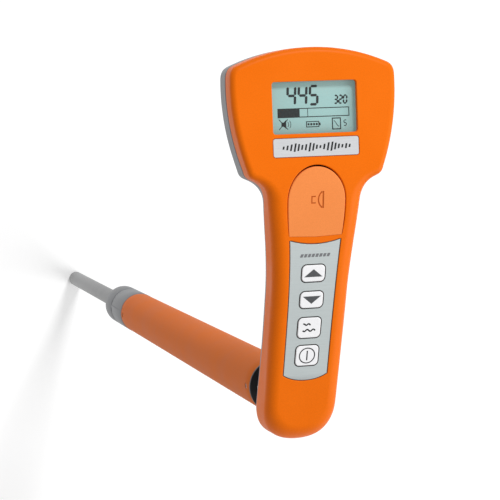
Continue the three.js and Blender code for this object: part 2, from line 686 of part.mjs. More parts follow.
[-1.5, -0.5, 0.5, 1.5].forEach((step, i) =>
  addPiece(receiver, `battery_cell_${i + 1}`, cell(step * CELL_PITCH), CELL));
const CONTACT = { width: 58, thickness: 0.8, height: 10, rise: 0.8 };
[CELL_START_Y - GAP - CONTACT.thickness / 2, CELL_START_Y + CELL_LENGTH + GAP + CONTACT.thickness / 2]
  .forEach((y, i) => addPiece(receiver, `battery_contact_${i + 1}`,
    block(CONTACT.width, CONTACT.thickness, CONTACT.height, 0, y, CELL_Z + CONTACT.rise), STEEL));

// ---- keypad -------------------------------------------------------------------------------

function keypadOverlay() {
  let overlay = punched(keypadOutline(), LOW, HIGH).intersect(band(-OVERLAY_DEPTH + GAP, -0.15));
  for (const key of KEYS) overlay = overlay.subtract(keyPrism(key, GAP, -8, 8));
  return overlay;
}

function keyBody(key) {
  const { z, tilt } = faceAt(key.y);
  const { radius, length, sink } = KEY_STEM;
  const stem = new THREE.CylinderGeometry(radius, radius, length, SMALL_ROUND).rotateX(Math.PI / 2);
  stem.translate(0, 0, KEY_PROUD - KEY_THICKNESS - sink).rotateX(tilt).translate(0, key.y, z);
  return keyPrism(key, 0, KEY_PROUD - KEY_THICKNESS, KEY_PROUD).add(solid(stem));
}

// flat board under the keys, on the chord of the curved face
function keypadBoard() {
  const { width, from, to, sink } = KEY_BOARD;
  const [a, b] = [faceAt(from), faceAt(to)];
  const tilt = Math.atan2(b.z - a.z, to - from);
  const length = Math.hypot(b.z - a.z, to - from);
  const geometry = new THREE.BoxGeometry(width, length, BOARD_THICKNESS).translate(0, 0, 1 - sink);
  return solid(geometry.rotateX(tilt).translate(0, (from + to) / 2, (a.z + b.z) / 2));
}

addPiece(receiver, 'keypad_overlay', keypadOverlay(), SILVER);
for (const key of KEYS) addPiece(receiver, key.name, keyBody(key), WHITE);
addPiece(receiver, 'keypad_board', keypadBoard(), BOARD);

// ---- thumb button -------------------------------------------------------------------------

// the button's lugs reach back under the shell to its pivot pin
function thumbLug(from) {
  const { y, z } = thumbPivot();
  const side = [vec(y - 1.6, z - 1.7), vec(y + 7, z - 1), vec(y + 7, faceAt(y + 7).z - 2),
    vec(THUMB.bottomY + 0.6, faceAt(THUMB.bottomY + 0.6).z - 2), vec(THUMB.bottomY + 0.6, z + 1.7),
    vec(y - 1.6, z + 1.7)];
  return slice(side, from, from + 2.4);
}

function thumbButton() {
  const pivot = thumbPivot();
  return punched(thumbOutline(THUMB.topY), LOW, HIGH)
    .intersect(band(-THUMB.thickness, -0.1))
    .add(thumbLug(9.3)).add(thumbLug(-11.7))
    .subtract(crossRod(THUMB_PIN_R + GAP, -15, 15, pivot.y, pivot.z, 12));
}

const SWITCH_BOARD = { width: 24, height: 26, z: 94 };
const SWITCH = { width: 12, height: 8, rise: 6 };
const PLUNGER_R = 1.5;
const switchTop = SWITCH_BOARD.z + BOARD_THICKNESS + GAP + SWITCH.rise;

function thumbSwitch() {
  return plateAt(SWITCH.width, SWITCH.height, SWITCH_Y, switchTop - SWITCH.rise, switchTop)
    .subtract(rod(PLUNGER_R + GAP, switchTop - 4, switchTop + 1).translate([0, SWITCH_Y, 0]));
}

function switchPlunger() {
  const top = faceAt(SWITCH_Y).z - THUMB.thickness - 0.5;
  return rod(PLUNGER_R, switchTop - 2, top).translate([0, SWITCH_Y, 0]);
}

addPiece(receiver, 'thumb_button', thumbButton(), ORANGE);
addPiece(receiver, 'thumb_pivot_pin',
  crossRod(THUMB_PIN_R, -14.2, 14.2, thumbPivot().y, thumbPivot().z, 12), STEEL);
addPiece(receiver, 'thumb_switch_board',
  plateAt(SWITCH_BOARD.width, SWITCH_BOARD.height, SWITCH_Y - 1,
    SWITCH_BOARD.z, SWITCH_BOARD.z + BOARD_THICKNESS), BOARD);
addPiece(receiver, 'thumb_switch', thumbSwitch(), BLACK);
addPiece(receiver, 'switch_plunger', switchPlunger(), WHITE);

export default listeningStick;
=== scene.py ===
"""An acoustic leak listening stick: probe rod, microphone, carrying tube, tilting neck and receiver."""

import math

import bpy
import numpy as np
from mathutils import Matrix, Vector


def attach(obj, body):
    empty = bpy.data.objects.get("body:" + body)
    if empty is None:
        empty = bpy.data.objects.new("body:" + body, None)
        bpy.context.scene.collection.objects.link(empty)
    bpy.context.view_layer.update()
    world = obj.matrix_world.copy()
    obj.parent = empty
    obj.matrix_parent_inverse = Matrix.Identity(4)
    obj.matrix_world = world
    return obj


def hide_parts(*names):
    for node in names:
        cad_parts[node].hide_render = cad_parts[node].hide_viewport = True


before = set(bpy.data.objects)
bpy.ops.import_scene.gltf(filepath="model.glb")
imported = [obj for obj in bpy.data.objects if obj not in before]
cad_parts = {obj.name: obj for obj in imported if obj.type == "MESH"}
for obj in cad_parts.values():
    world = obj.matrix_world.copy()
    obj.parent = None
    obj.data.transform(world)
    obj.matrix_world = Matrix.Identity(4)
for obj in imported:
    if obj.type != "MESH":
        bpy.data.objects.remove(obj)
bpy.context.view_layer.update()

# ---- the studio -----------------------------------------------------------------------------
# The stick stands on its tip on a plain white floor, and the camera looks down on the receiver
# from above its face. A soft lamp stands behind the head, and a wide one to the right of the grip.

MM = 0.001
scene = bpy.context.scene
scene.view_settings.view_transform = "Standard"

camera_data = bpy.data.cameras.new("camera")
camera_data.sensor_width = 36
camera_data.lens = 135.7
camera = bpy.data.objects.new("camera", camera_data)
camera.location = (-0.2593, 0.1576, 1.9308)
camera.rotation_euler = [math.radians(angle) for angle in (-3.49, -13.112, -2.171)]
scene.collection.objects.link(camera)
scene.camera = camera


def new_material(name, fixed):
    """a material with its shader's fixed values, and ways to add, join and place nodes"""
    material = bpy.data.materials.new(name)
    material.use_nodes = True
    tree = material.node_tree
    shader = tree.nodes["Principled BSDF"]
    for socket, value in fixed.items():
        shader.inputs[socket].default_value = value

    def node(kind, inputs=None, **settings):
        made = tree.nodes.new("ShaderNode" + kind)
        for setting, value in settings.items():
            setattr(made, setting, value)
        for socket, value in (inputs or {}).items():
            if isinstance(value, bpy.types.NodeSocket):
                tree.links.new(value, made.inputs[socket])
            else:
                made.inputs[socket].default_value = value
        return made

    def link(output, socket):
        tree.links.new(output, shader.inputs[socket])

    return material, node, link, node("TexCoord").outputs["Object"]


def floor_paper():
    material, node, link, place = new_material("floor_paper", {
        "Roughness": 0.9, "Emission Color": (1.0, 1.0, 1.0, 1), "Emission Strength": 0.16})
    fibres = node("TexNoise", {"Vector": place, "Scale": 40.0, "Detail": 4.0})
    tone = node("MapRange", {"Value": fibres.outputs["Fac"], "To Min": 0.93, "To Max": 0.95})
    link(tone.outputs["Result"], "Base Color")
    return material


bpy.ops.mesh.primitive_plane_add(size=14)
floor = bpy.context.object
floor.name = "floor"
floor.data.materials.append(floor_paper())

world = bpy.data.worlds.new("studio")
scene.world = world
world.use_nodes = True
world.node_tree.nodes["Background"].inputs["Color"].default_value = (1.0, 1.0, 1.0, 1)
world.node_tree.nodes["Background"].inputs["Strength"].default_value = 0.42


def soft_lamp(name, place, aim, width, power):
    lamp_data = bpy.data.lights.new(name, "AREA")
    lamp_data.shape = "DISK"
    lamp_data.size = width
    lamp_data.energy = power
    lamp = bpy.data.objects.new(name, lamp_data)
    lamp.location = place
    lamp.rotation_euler = (Vector(aim) - Vector(place)).to_track_quat("-Z", "Y").to_euler()
    scene.collection.objects.link(lamp)


soft_lamp("key_lamp", (0.8, 2.1, 3.3), (0, 0, 0.6), 0.8, 56)
soft_lamp("side_lamp", (2.3, -1.2, 2.5), (0, 0.1, 0.8), 2.4, 52)

# ---- probe rod ------------------------------------------------------------------------------
# A solid bar of stainless steel, turned to size. Its blunt tip is chamfered, and a short thread
# at its upper end screws it into the microphone's end cap.


def choose(piece):
    """selects one piece and nothing else"""
    bpy.ops.object.select_all(action="DESELECT")
    bpy.context.view_layer.objects.active = piece
    piece.select_set(True)


def into_edit(piece):
    """opens one piece in edit mode, with all of it selected"""
    choose(piece)
    bpy.ops.object.mode_set(mode="EDIT")
    bpy.ops.mesh.select_all(action="SELECT")


def out_of_edit():
    bpy.ops.object.mode_set(mode="OBJECT")


def turn_faces_out(piece):
    into_edit(piece)
    bpy.ops.mesh.normals_make_consistent(inside=False)
    out_of_edit()


def mesh_piece(name, points, edges, faces=()):
    """a new piece from points in millimetres"""
    mesh = bpy.data.meshes.new(name)
    mesh.from_pydata([Vector(point) * MM for point in points], edges, faces)
    piece = bpy.data.objects.new(name, mesh)
    scene.collection.objects.link(piece)
    return piece


def spun(name, profile, steps=96):
    """turns an outline of radii and heights, in millimetres, round the stick's axis"""
    points = [(radius, 0, height) for radius, height in profile]
    edges = [(i, i + 1) for i in range(len(points) - 1)]
    piece = mesh_piece(name, points, edges)
    into_edit(piece)
    bpy.ops.mesh.spin(steps=steps, angle=math.tau, center=(0, 0, 0), axis=(0, 0, 1))
    bpy.ops.mesh.select_all(action="SELECT")
    bpy.ops.mesh.remove_doubles(threshold=1e-6)
    out_of_edit()
    turn_faces_out(piece)
    return piece


def apply_modifier(piece, kind, **settings):
    """adds one modifier, sets it and applies it"""
    choose(piece)
    modifier = piece.modifiers.new(kind.lower(), kind)
    for setting, value in settings.items():
        setattr(modifier, setting, value)
    bpy.ops.object.modifier_apply(modifier=modifier.name)


def round_edges(piece, width, segments=2):
    apply_modifier(piece, "BEVEL", width=width * MM, segments=segments, limit_method="ANGLE",
                   angle_limit=math.radians(35), use_clamp_overlap=True)


def smooth(piece):
    choose(piece)
    bpy.ops.object.shade_smooth_by_angle(angle=math.radians(32))


def fit(piece, body, slot, material, *nodes):
    """gives a piece its finish, and hangs it on the body that it moves with"""
    piece.data.materials.clear()
    piece.data.materials.append(material)
    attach(piece, body)
    if nodes:
        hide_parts(*nodes)


def round_and_fit(piece, width, *fitting):
    """the last steps of most turned and moulded pieces"""
    round_edges(piece, width)
    smooth(piece)
    fit(piece, *fitting)


def turned_steel():
    """stainless steel with fine rings from the lathe and a dull, handled surface"""
    material, node, link, place = new_material("turned_steel", {"Metallic": 0.75})
    rings = node("Mapping", {"Vector": place, "Scale": (30, 30, 2600)})
    lines = node("TexNoise", {"Vector": rings.outputs["Vector"], "Scale": 1.0, "Detail": 3.0})
    stains = node("TexNoise", {"Vector": place, "Scale": 55.0, "Detail": 5.0, "Roughness": 0.6})
    tone = node("MixRGB", {"Fac": stains.outputs["Fac"], "Color1": (0.2, 0.203, 0.207, 1),
                           "Color2": (0.36, 0.36, 0.36, 1)})
    link(tone.outputs["Color"], "Base Color")
    rough = node("MapRange", {"Value": stains.outputs["Fac"], "To Min": 0.38, "To Max": 0.6})
    link(rough.outputs["Result"], "Roughness")
    bump = node("Bump", {"Height": lines.outputs["Fac"], "Strength": 0.25, "Distance": 0.02 * MM})
    link(bump.outputs["Normal"], "Normal")
    return material


ROD_RADIUS = 7
ROD_TOP = 305.7
STUD_RADIUS = 4
STUD_TOP = 321.7
steel = turned_steel()
rod = spun("probe_rod", [(0, 0), (5, 0), (ROD_RADIUS, 2), (ROD_RADIUS, ROD_TOP), (STUD_RADIUS, ROD_TOP),
                         (STUD_RADIUS, STUD_TOP), (0, STUD_TOP)])
round_and_fit(rod, 0.35, "stick", "steel_rod", steel, "probe_rod")

# ---- microphone housing ---------------------------------------------------------------------
# Two turned aluminium pieces, blasted and painted grey: an end cap that takes the rod, and the
# housing over the sensor. A black rubber ring seals the slot between them, crossed by a key.


def grained(name, colour, shade, roughness, grain, depth, metal=0.0, gloss=0.5):
    """a moulded or blasted surface: fine grain, and slow changes of tone and gloss"""
    material, node, link, place = new_material(name, {"Metallic": metal, "Specular IOR Level": gloss})
    fine = node("TexNoise", {"Vector": place, "Scale": grain, "Detail": 3.0, "Roughness": 0.6})
    slow = node("TexNoise", {"Vector": place, "Scale": 40.0, "Detail": 5.0, "Roughness": 0.55})
    tone = node("MixRGB", {"Fac": slow.outputs["Fac"], "Color1": (*shade, 1), "Color2": (*colour, 1)})
    speck = node("MapRange", {"Value": fine.outputs["Fac"], "From Min": 0.3, "From Max": 0.7,
                              "To Min": 0.94, "To Max": 1.04})
    speckled = node("MixRGB", {"Fac": 1.0, "Color1": tone.outputs["Color"],
                               "Color2": speck.outputs["Result"]}, blend_type="MULTIPLY")
    link(speckled.outputs["Color"], "Base Color")
    rough = node("MapRange", {"Value": slow.outputs["Fac"], "From Min": 0.3, "From Max": 0.7,
                              "To Min": roughness - 0.05, "To Max": roughness + 0.07})
    link(rough.outputs["Result"], "Roughness")
    bump = node("Bump", {"Height": fine.outputs["Fac"], "Strength": 0.35, "Distance": depth * MM})
    link(bump.outputs["Normal"], "Normal")
    return material


def combine(piece, other, operation="DIFFERENCE"):
    """cuts one piece with another, or joins it, and takes the other away"""
    apply_modifier(piece, "BOOLEAN", operation=operation, object=other, solver="EXACT")
    bpy.data.objects.remove(other)


def move(piece, way):
    """moves a piece's points, by millimetres"""
    piece.data.transform(Matrix.Translation(Vector(way) * MM))


def block(name, size, centre):
    """a box, in millimetres"""
    bpy.ops.object.select_all(action="DESELECT")
    bpy.ops.mesh.primitive_cube_add(size=1)
    made = bpy.context.object
    made.name = name
    made.data.transform(Matrix.Diagonal((*[side * MM for side in size], 1)))
    move(made, centre)
    return made


def bar(name, radius, length, centre, steps, turn=(0, "X")):
    """a round bar, in millimetres, turned from upright by an angle about an axis"""
    bpy.ops.object.select_all(action="DESELECT")
    bpy.ops.mesh.primitive_cylinder_add(vertices=steps, radius=radius * MM, depth=length * MM)
    made = bpy.context.object
    made.name = name
    made.data.transform(Matrix.Rotation(turn[0], 4, turn[1]))
    move(made, centre)
    return made


def cross_rod(name, radius, start, end, y, z, steps=48):
    """a round bar along X, in millimetres"""
    return bar(name, radius, end - start, ((start + end) / 2, y, z), steps, (math.pi / 2, "Y"))


SCREW_HOLE = 1.9
SENSOR_RADIUS = 16.2
SENSOR_BORE = 12
TUBE_BOTTOM = 390
CAP_BOTTOM, CAP_TOP = 306, 337.5
HOUSING_BOTTOM, HOUSING_TOP = 340.2, 389.7
SPIGOT_RADIUS, SPIGOT_TOP = 13.7, 404.7

grey_paint = grained("grey_paint", (0.235, 0.24, 0.25), (0.17, 0.175, 0.185), 0.5, 1900.0, 0.04, 0.35)
rubber = grained("black_rubber", (0.02, 0.02, 0.02), (0.012, 0.012, 0.012), 0.7, 900.0, 0.03)

cap = spun("sensor_end_cap", [
    (0, 323), (4.3, 323), (4.3, CAP_BOTTOM), (9.5, CAP_BOTTOM), (10.2, CAP_BOTTOM + 0.5),
    (10.9, CAP_BOTTOM), (15, CAP_BOTTOM), (SENSOR_RADIUS, CAP_BOTTOM + 1.2), (SENSOR_RADIUS, CAP_TOP),
    (11.7, CAP_TOP), (11.7, CAP_TOP + 8.5), (0, CAP_TOP + 8.5)])
round_and_fit(cap, 0.3, "stick", "grey_housing", grey_paint, "sensor_end_cap")

seal = spun("cap_seal_ring", [(SENSOR_BORE, CAP_TOP + 0.3), (SENSOR_RADIUS - 0.6, CAP_TOP + 0.3),
                              (SENSOR_RADIUS - 0.6, CAP_TOP + 2.4), (SENSOR_BORE, CAP_TOP + 2.4),
                              (SENSOR_BORE, CAP_TOP + 0.3)])
combine(seal, block("seal_gap", (6, 3.6, 4), (-15, 2, CAP_TOP + 1.3)))
round_and_fit(seal, 0.4, "stick", "black_rubber", rubber, "cap_seal_ring")

housing = spun("sensor_housing", [
    (SENSOR_BORE, HOUSING_BOTTOM), (SENSOR_RADIUS, HOUSING_BOTTOM), (SENSOR_RADIUS, HOUSING_TOP),
    (SPIGOT_RADIUS, HOUSING_TOP), (SPIGOT_RADIUS, SPIGOT_TOP), (3, SPIGOT_TOP), (3, 384),
    (SENSOR_BORE, 384), (SENSOR_BORE, HOUSING_BOTTOM)])
combine(housing, block("cap_key", (3.4, 2.4, 3), (-14.3, 2, CAP_TOP + 1.8)), "UNION")
round_edges(housing, 0.25)
combine(housing, cross_rod("screw_seat", SCREW_HOLE, -18, -10, 0, TUBE_BOTTOM + 7, 32))
combine(housing, block("index_mark", (1, 0.8, 7), (-SENSOR_RADIUS, -4, HOUSING_BOTTOM + 7)))
smooth(housing)
fit(housing, "stick", "grey_housing", grey_paint, "sensor_housing")

# ---- sensor and its lead --------------------------------------------------------------------
# A disc of piezo ceramic with a brass mass on it stands on the end cap. A round board above
# lifts its signal, and a black lead takes it up the tube. All are shut in, and keep their form.


def machined(name, colour, shade, roughness=0.3):
    """bare or plated metal with short scratches from the tool"""
    material, node, link, place = new_material(name, {"Metallic": 0.95})
    drawn = node("Mapping", {"Vector": place, "Scale": (900, 90, 900)})
    scratches = node("TexNoise", {"Vector": drawn.outputs["Vector"], "Scale": 1.0, "Detail": 4.0})
    tone = node("MixRGB", {"Fac": scratches.outputs["Fac"], "Color1": (*shade, 1), "Color2": (*colour, 1)})
    link(tone.outputs["Color"], "Base Color")
    rough = node("MapRange", {"Value": scratches.outputs["Fac"], "To Min": roughness - 0.1,
                              "To Max": roughness + 0.15})
    link(rough.outputs["Result"], "Roughness")
    return material


def circuit_board(name):
    """green solder mask over a lattice of copper tracks"""
    material, node, link, place = new_material(name, {"Roughness": 0.38})
    tracks = node("TexBrick", {"Vector": place, "Scale": 260.0, "Mortar Size": 0.03,
                               "Color1": (0.012, 0.1, 0.035, 1), "Color2": (0.016, 0.125, 0.045, 1),
                               "Mortar": (0.03, 0.2, 0.07, 1)}, offset=0.35)
    link(tracks.outputs["Color"], "Base Color")
    bump = node("Bump", {"Height": tracks.outputs["Fac"], "Strength": 0.3, "Distance": 0.04 * MM})
    link(bump.outputs["Normal"], "Normal")
    return material


def keep(slot, material, *names):
    """CAD nodes that stay as they are, with their finish"""
    for name in names:
        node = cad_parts[name]
        node.data.materials.clear()
        node.data.materials.append(material)


ceramic = grained("piezo_ceramic", (0.8, 0.76, 0.66), (0.7, 0.66, 0.57), 0.6, 2200.0, 0.02)
brass = machined("brass", (0.62, 0.45, 0.2), (0.45, 0.31, 0.12))
board = circuit_board("circuit_board")
keep("ceramic", ceramic, "piezo_element")
keep("brass", brass, "seismic_mass")
keep("circuit_board", board, "preamp_board")
keep("black_rubber", rubber, "sensor_lead")

# ---- carrying tube --------------------------------------------------------------------------
# A straight tube of filled plastic in matt orange, open at both ends. One small set screw near
# each end bites into the spigot inside, and the lower rim has a locating notch.


def tube_finish():
    """matt orange with faint lengthways streaks from drawing, and scuffs from handling"""
    material, node, link, place = new_material("tube_orange", {"Specular IOR Level": 0.08})
    drawn = node("Mapping", {"Vector": place, "Scale": (700, 700, 12)})
    streaks = node("TexNoise", {"Vector": drawn.outputs["Vector"], "Scale": 1.0, "Detail": 3.0})
    scuffs = node("TexNoise", {"Vector": place, "Scale": 24.0, "Detail": 8.0, "Roughness": 0.7})
    tone = node("MixRGB", {"Fac": scuffs.outputs["Fac"], "Color1": (0.63, 0.122, 0.001, 1),
                           "Color2": (0.76, 0.162, 0.003, 1)})
    link(tone.outputs["Color"], "Base Color")
    rough = node("MapRange", {"Value": scuffs.outputs["Fac"], "To Min": 0.45, "To Max": 0.72})
    link(rough.outputs["Result"], "Roughness")
    bump = node("Bump", {"Height": streaks.outputs["Fac"], "Strength": 0.3, "Distance": 0.03 * MM})
    link(bump.outputs["Normal"], "Normal")
    return material


TUBE_RADIUS, TUBE_BORE = 16, 14
TUBE_TOP = 859
SET_SCREW_HEIGHTS = (TUBE_BOTTOM + 7, TUBE_TOP - 9)

tube = spun("carrying_tube", [(TUBE_BORE, TUBE_BOTTOM), (TUBE_RADIUS, TUBE_BOTTOM),
                              (TUBE_RADIUS, TUBE_BOTTOM + 12), (TUBE_RADIUS, TUBE_TOP - 14),
                              (TUBE_RADIUS, TUBE_TOP), (TUBE_BORE, TUBE_TOP),
                              (TUBE_BORE, TUBE_BOTTOM)], 128)
round_edges(tube, 0.4)
for height in SET_SCREW_HEIGHTS:
    combine(tube, cross_rod("screw_hole", SCREW_HOLE, -18, -12, 0, height, 32))
combine(tube, block("notch", (6, 1.6, 2.4), (-15, 5, TUBE_BOTTOM)))
smooth(tube)
fit(tube, "stick", "orange_tube", tube_finish(), "carrying_tube")

plated = machined("zinc_plate", (0.66, 0.66, 0.64), (0.5, 0.5, 0.5), 0.35)
for name, height in zip(("set_screw_lower", "set_screw_upper"), SET_SCREW_HEIGHTS):
    screw = cross_rod(name, 1.6, -15.7, -12.5, 0, height, 32)
    round_edges(screw, 0.2)
    combine(screw, cross_rod("socket", 0.85, -16.9, -14.5, 0, height, 6))
    smooth(screw)
    fit(screw, "stick", "plated_steel", plated, name)

# ---- tilting neck ---------------------------------------------------------------------------
# A black moulded plug closes the top of the tube and carries a tongue. A fork on the receiver
# straddles it, and a steel pin and nut pinch both on brass washers, so that it stays where set.

NECK_Z = TUBE_TOP
PIVOT_Z = NECK_Z + 14
TONGUE_HALF = 4.5
EAR_START, EAR_END = 6.1, 11.1
KNUCKLE = 7
PIN_HOLE = 2.8

black_plastic = grained("black_plastic", (0.016, 0.016, 0.017), (0.01, 0.01, 0.011), 0.5, 1500.0, 0.03)

base = spun("swivel_base", [
    (0, NECK_Z - 20), (12.7, NECK_Z - 20), (13.7, NECK_Z - 19), (13.7, NECK_Z + 0.3),
    (TUBE_RADIUS, NECK_Z + 0.3), (TUBE_RADIUS, NECK_Z + 2.4), (0, NECK_Z + 2.4)])
combine(base, block("tongue_root", (2 * TONGUE_HALF, 2 * KNUCKLE, 13), (0, 0, NECK_Z + 7.6)), "UNION")
combine(base, cross_rod("tongue_end", KNUCKLE, -TONGUE_HALF, TONGUE_HALF, 0, PIVOT_Z, 64), "UNION")
combine(base, cross_rod("pin_hole", PIN_HOLE, -20, 20, 0, PIVOT_Z))
combine(base, cross_rod("screw_seat", SCREW_HOLE, -18, -10, 0, SET_SCREW_HEIGHTS[1], 32))
round_and_fit(base, 0.5, "stick", "black_plastic", black_plastic, "swivel_base")

for side, start in (("right", 4.8), ("left", -5.8)):
    washer = cross_rod("friction_washer_" + side, 6.5, start, start + 1, 0, PIVOT_Z, 48)
    combine(washer, cross_rod("washer_hole", PIN_HOLE, start - 1, start + 2, 0, PIVOT_Z))
    round_and_fit(washer, 0.2, "stick", "brass", brass, "friction_washer_" + side)

GRIP_SLOPE = 0.445
SLOPE_Y, SLOPE_Z = 50, 86
GRIP_DEPTH = 36


def grip_back(y):
    """height of the grip's back, along its straight part"""
    return NECK_Z + SLOPE_Z + GRIP_SLOPE * (y - SLOPE_Y) - GRIP_DEPTH


def side_plate(name, outline, start, end):
    """an outline of y and z, in millimetres, drawn out along X"""
    piece = mesh_piece(name, [(start, y, z) for y, z in outline], (), [range(len(outline))])
    into_edit(piece)
    bpy.ops.mesh.extrude_region_move(TRANSFORM_OT_translate={"value": ((end - start) * MM, 0, 0)})
    out_of_edit()
    turn_faces_out(piece)
    return piece


def drill_for_neck_screws(piece):
    """two holes on the middle line, square to the grip's back"""
    for y in (-1, 13):
        hole = bar("neck_hole", SCREW_HOLE, 16, (0, y, grip_back(y)), 32, (math.atan(GRIP_SLOPE), "X"))
        combine(piece, hole)


FORK_HALF = 12
fork = side_plate("swivel_fork", [(-12, grip_back(-12) - 5), (18, grip_back(18) - 5),
                                  (18, grip_back(18) - 0.3), (-12, grip_back(-12) - 0.3)],
                  -FORK_HALF, FORK_HALF)
for start in (EAR_START, -EAR_END):
    web = side_plate("web", [(-KNUCKLE, PIVOT_Z), (KNUCKLE, PIVOT_Z), (15, grip_back(15) - 2),
                             (-10, grip_back(-10) - 2)], start, start + EAR_END - EAR_START)
    combine(web, cross_rod("ear", KNUCKLE, start, start + 5, 0, PIVOT_Z, 64), "UNION")
    combine(fork, web, "UNION")
combine(fork, cross_rod("pin_hole", PIN_HOLE, -20, 20, 0, PIVOT_Z))
drill_for_neck_screws(fork)
round_edges(fork, 0.6, 3)
smooth(fork)
fit(fork, "receiver", "black_plastic", black_plastic, "swivel_fork")

pin = cross_rod("hinge_pin", 2.5, -13.7, 12.1, 0, PIVOT_Z)
combine(pin, cross_rod("pin_head", 4.2, 11.4, 13.4, 0, PIVOT_Z), "UNION")
round_and_fit(pin, 0.35, "receiver", "plated_steel", plated, "hinge_pin")

nut = cross_rod("hinge_nut", 4.2, -13.4, -11.4, 0, PIVOT_Z, 6)
combine(nut, cross_rod("nut_hole", PIN_HOLE, -15, -10, 0, PIVOT_Z))
round_and_fit(nut, 0.25, "receiver", "plated_steel", plated, "hinge_nut")

keep("plated_steel", plated, "neck_screw_1", "neck_screw_2")

# ---- front shell ----------------------------------------------------------------------------
# The upper half of the receiver, injection moulded in orange plastic with a fine grain. Its face
# is flat over the head and falls away down the grip, and its long edges roll over more on the grip.

FACE_Z = 111
FACE_START_Y, FACE_KNEE_Y = 134, 106.2
GRIP_END_Y = -24.2
HEAD_PARTING, GRIP_PARTING, END_PARTING = 12.5, 18, 26
HALF_SLIT = 0.6
WALL = 2.6
HEAD_ROUND, SIDE_ROUND, END_ROUND = 3.2, 7, 9.5


def curve(*points, steps=24):
    """points along a Bezier curve of any order"""
    t = np.linspace(0, 1, steps)[:, None]
    layers = [np.tile(np.array(point, float), (steps, 1)) for point in points]
    while len(layers) > 1:
        layers = [(1 - t) * a + t * b for a, b in zip(layers, layers[1:])]
    return layers[0]


def arc(centre, radius, start, end, steps=24):
    turn = np.linspace(math.radians(start), math.radians(end), steps)
    return np.column_stack([centre[0] + radius * np.cos(turn), centre[1] + radius * np.sin(turn)])


def mirrored(half):
    """an anticlockwise outline from its right half, which starts and ends on the middle line"""
    left = half[half[:, 0] > 0.01][::-1] * (-1, 1)
    return np.vstack([half, left])


def evenly(points, count):
    """a closed outline again, with its points evenly spaced"""
    closed = np.vstack([points, points[:1]])
    run = np.concatenate([[0], np.cumsum(np.linalg.norm(np.diff(closed, axis=0), axis=1))])
    at = np.linspace(0, run[-1], count, endpoint=False)
    return np.column_stack([np.interp(at, run, closed[:, k]) for k in (0, 1)])


def outward(points, blend=0):
    """the outward direction at each point of an anticlockwise outline, blended along it"""
    along = np.roll(points, -1, 0) - np.roll(points, 1, 0)
    out = np.column_stack([along[:, 1], -along[:, 0]])
    out /= np.linalg.norm(out, axis=1)[:, None]
    total = sum(np.roll(out, shift, 0) for shift in range(-blend, blend + 1))
    return total / np.linalg.norm(total, axis=1)[:, None]


def bent(y, low, start, ctrl, end):
    """a straight slope, a curve from start to end, and then level"""
    y = np.asarray(y, float)
    (y0, z0), (y1, z1), (y2, z2) = start, ctrl, end
    a, b, c = y0 - 2 * y1 + y2, 2 * (y1 - y0), y0 - np.clip(y, y0, y2)
    t = (-b + np.sqrt(b * b - 4 * a * c)) / (2 * a)
    swept = (1 - t) ** 2 * z0 + 2 * t * (1 - t) * z1 + t * t * z2
    return np.where(y < y0, z0 + low * (y - y0), swept)


def face_height(y):
    """height of the receiver's face above the top of the tube"""
    return bent(y, GRIP_SLOPE, (SLOPE_Y, SLOPE_Z), (FACE_KNEE_Y, FACE_Z), (FACE_START_Y, FACE_Z))


def eased(y, low, high):
    t = np.clip((y - low) / (high - low), 0, 1)
    return t * t * (3 - 2 * t)


def parting_depth(y):
    """how deep below the face the two shells meet, deeper down the grip"""
    return (END_PARTING + (GRIP_PARTING - END_PARTING) * eased(y, -22, 45)
            + (HEAD_PARTING - GRIP_PARTING) * eased(y, 95, 132))


def lofted(name, rings, looped=False):
    """a skin over rings of equally many points, closed at its ends or joined to itself"""
    count, last = len(rings[0]), len(rings) - 1
    faces = []
    for k in range(last + 1 if looped else last):
        low, high = k * count, (k + 1) % len(rings) * count
        faces += [(low + i, low + (i + 1) % count, high + (i + 1) % count, high + i)
                  for i in range(count)]
    if not looped:
        faces += [list(range(count))[::-1], [last * count + i for i in range(count)]]
    return mesh_piece(name, np.vstack(rings), (), faces)


def ring(points, out, offset, height):
    """an outline moved outwards by an offset, at a height; both may differ along it"""
    moved = points + out * np.reshape(offset, (-1, 1))
    return np.column_stack([moved, np.broadcast_to(height, len(points))])


def stacked(name, points, steps, looped=False):
    """a skin over one outline, taken at pairs of offset and height"""
    out = outward(points)
    return lofted(name, [ring(points, out, offset, height) for offset, height in steps], looped)


def rolled(radius, top, angles):
    """pairs of offset and height up a rounded edge, to its top"""
    return [(-radius * (1 - math.cos(t)), top - radius * (1 - math.sin(t))) for t in angles]


def follow(piece, line, start=SLOPE_Y, end=FACE_START_Y, step=3):
    """cuts a piece that was built flat across its bend, and lifts it onto the receiver's line"""
    into_edit(piece)
    for y in np.arange(start, end + 0.1, step):
        bpy.ops.mesh.select_all(action="SELECT")
        bpy.ops.mesh.bisect(plane_co=(0, float(y) * MM, 0), plane_no=(0, 1, 0), threshold=1e-6)
    out_of_edit()
    places = np.empty(3 * len(piece.data.vertices))
    piece.data.vertices.foreach_get("co", places)
    places = places.reshape(-1, 3)
    places[:, 2] += (NECK_Z + line(places[:, 1] / MM)) * MM
    piece.data.vertices.foreach_set("co", places.ravel())
    piece.data.update()


def even_shading(piece):
    """smooth shading that leaves the large flats flat"""
    smooth(piece)
    apply_modifier(piece, "WEIGHTED_NORMAL", keep_sharp=True)


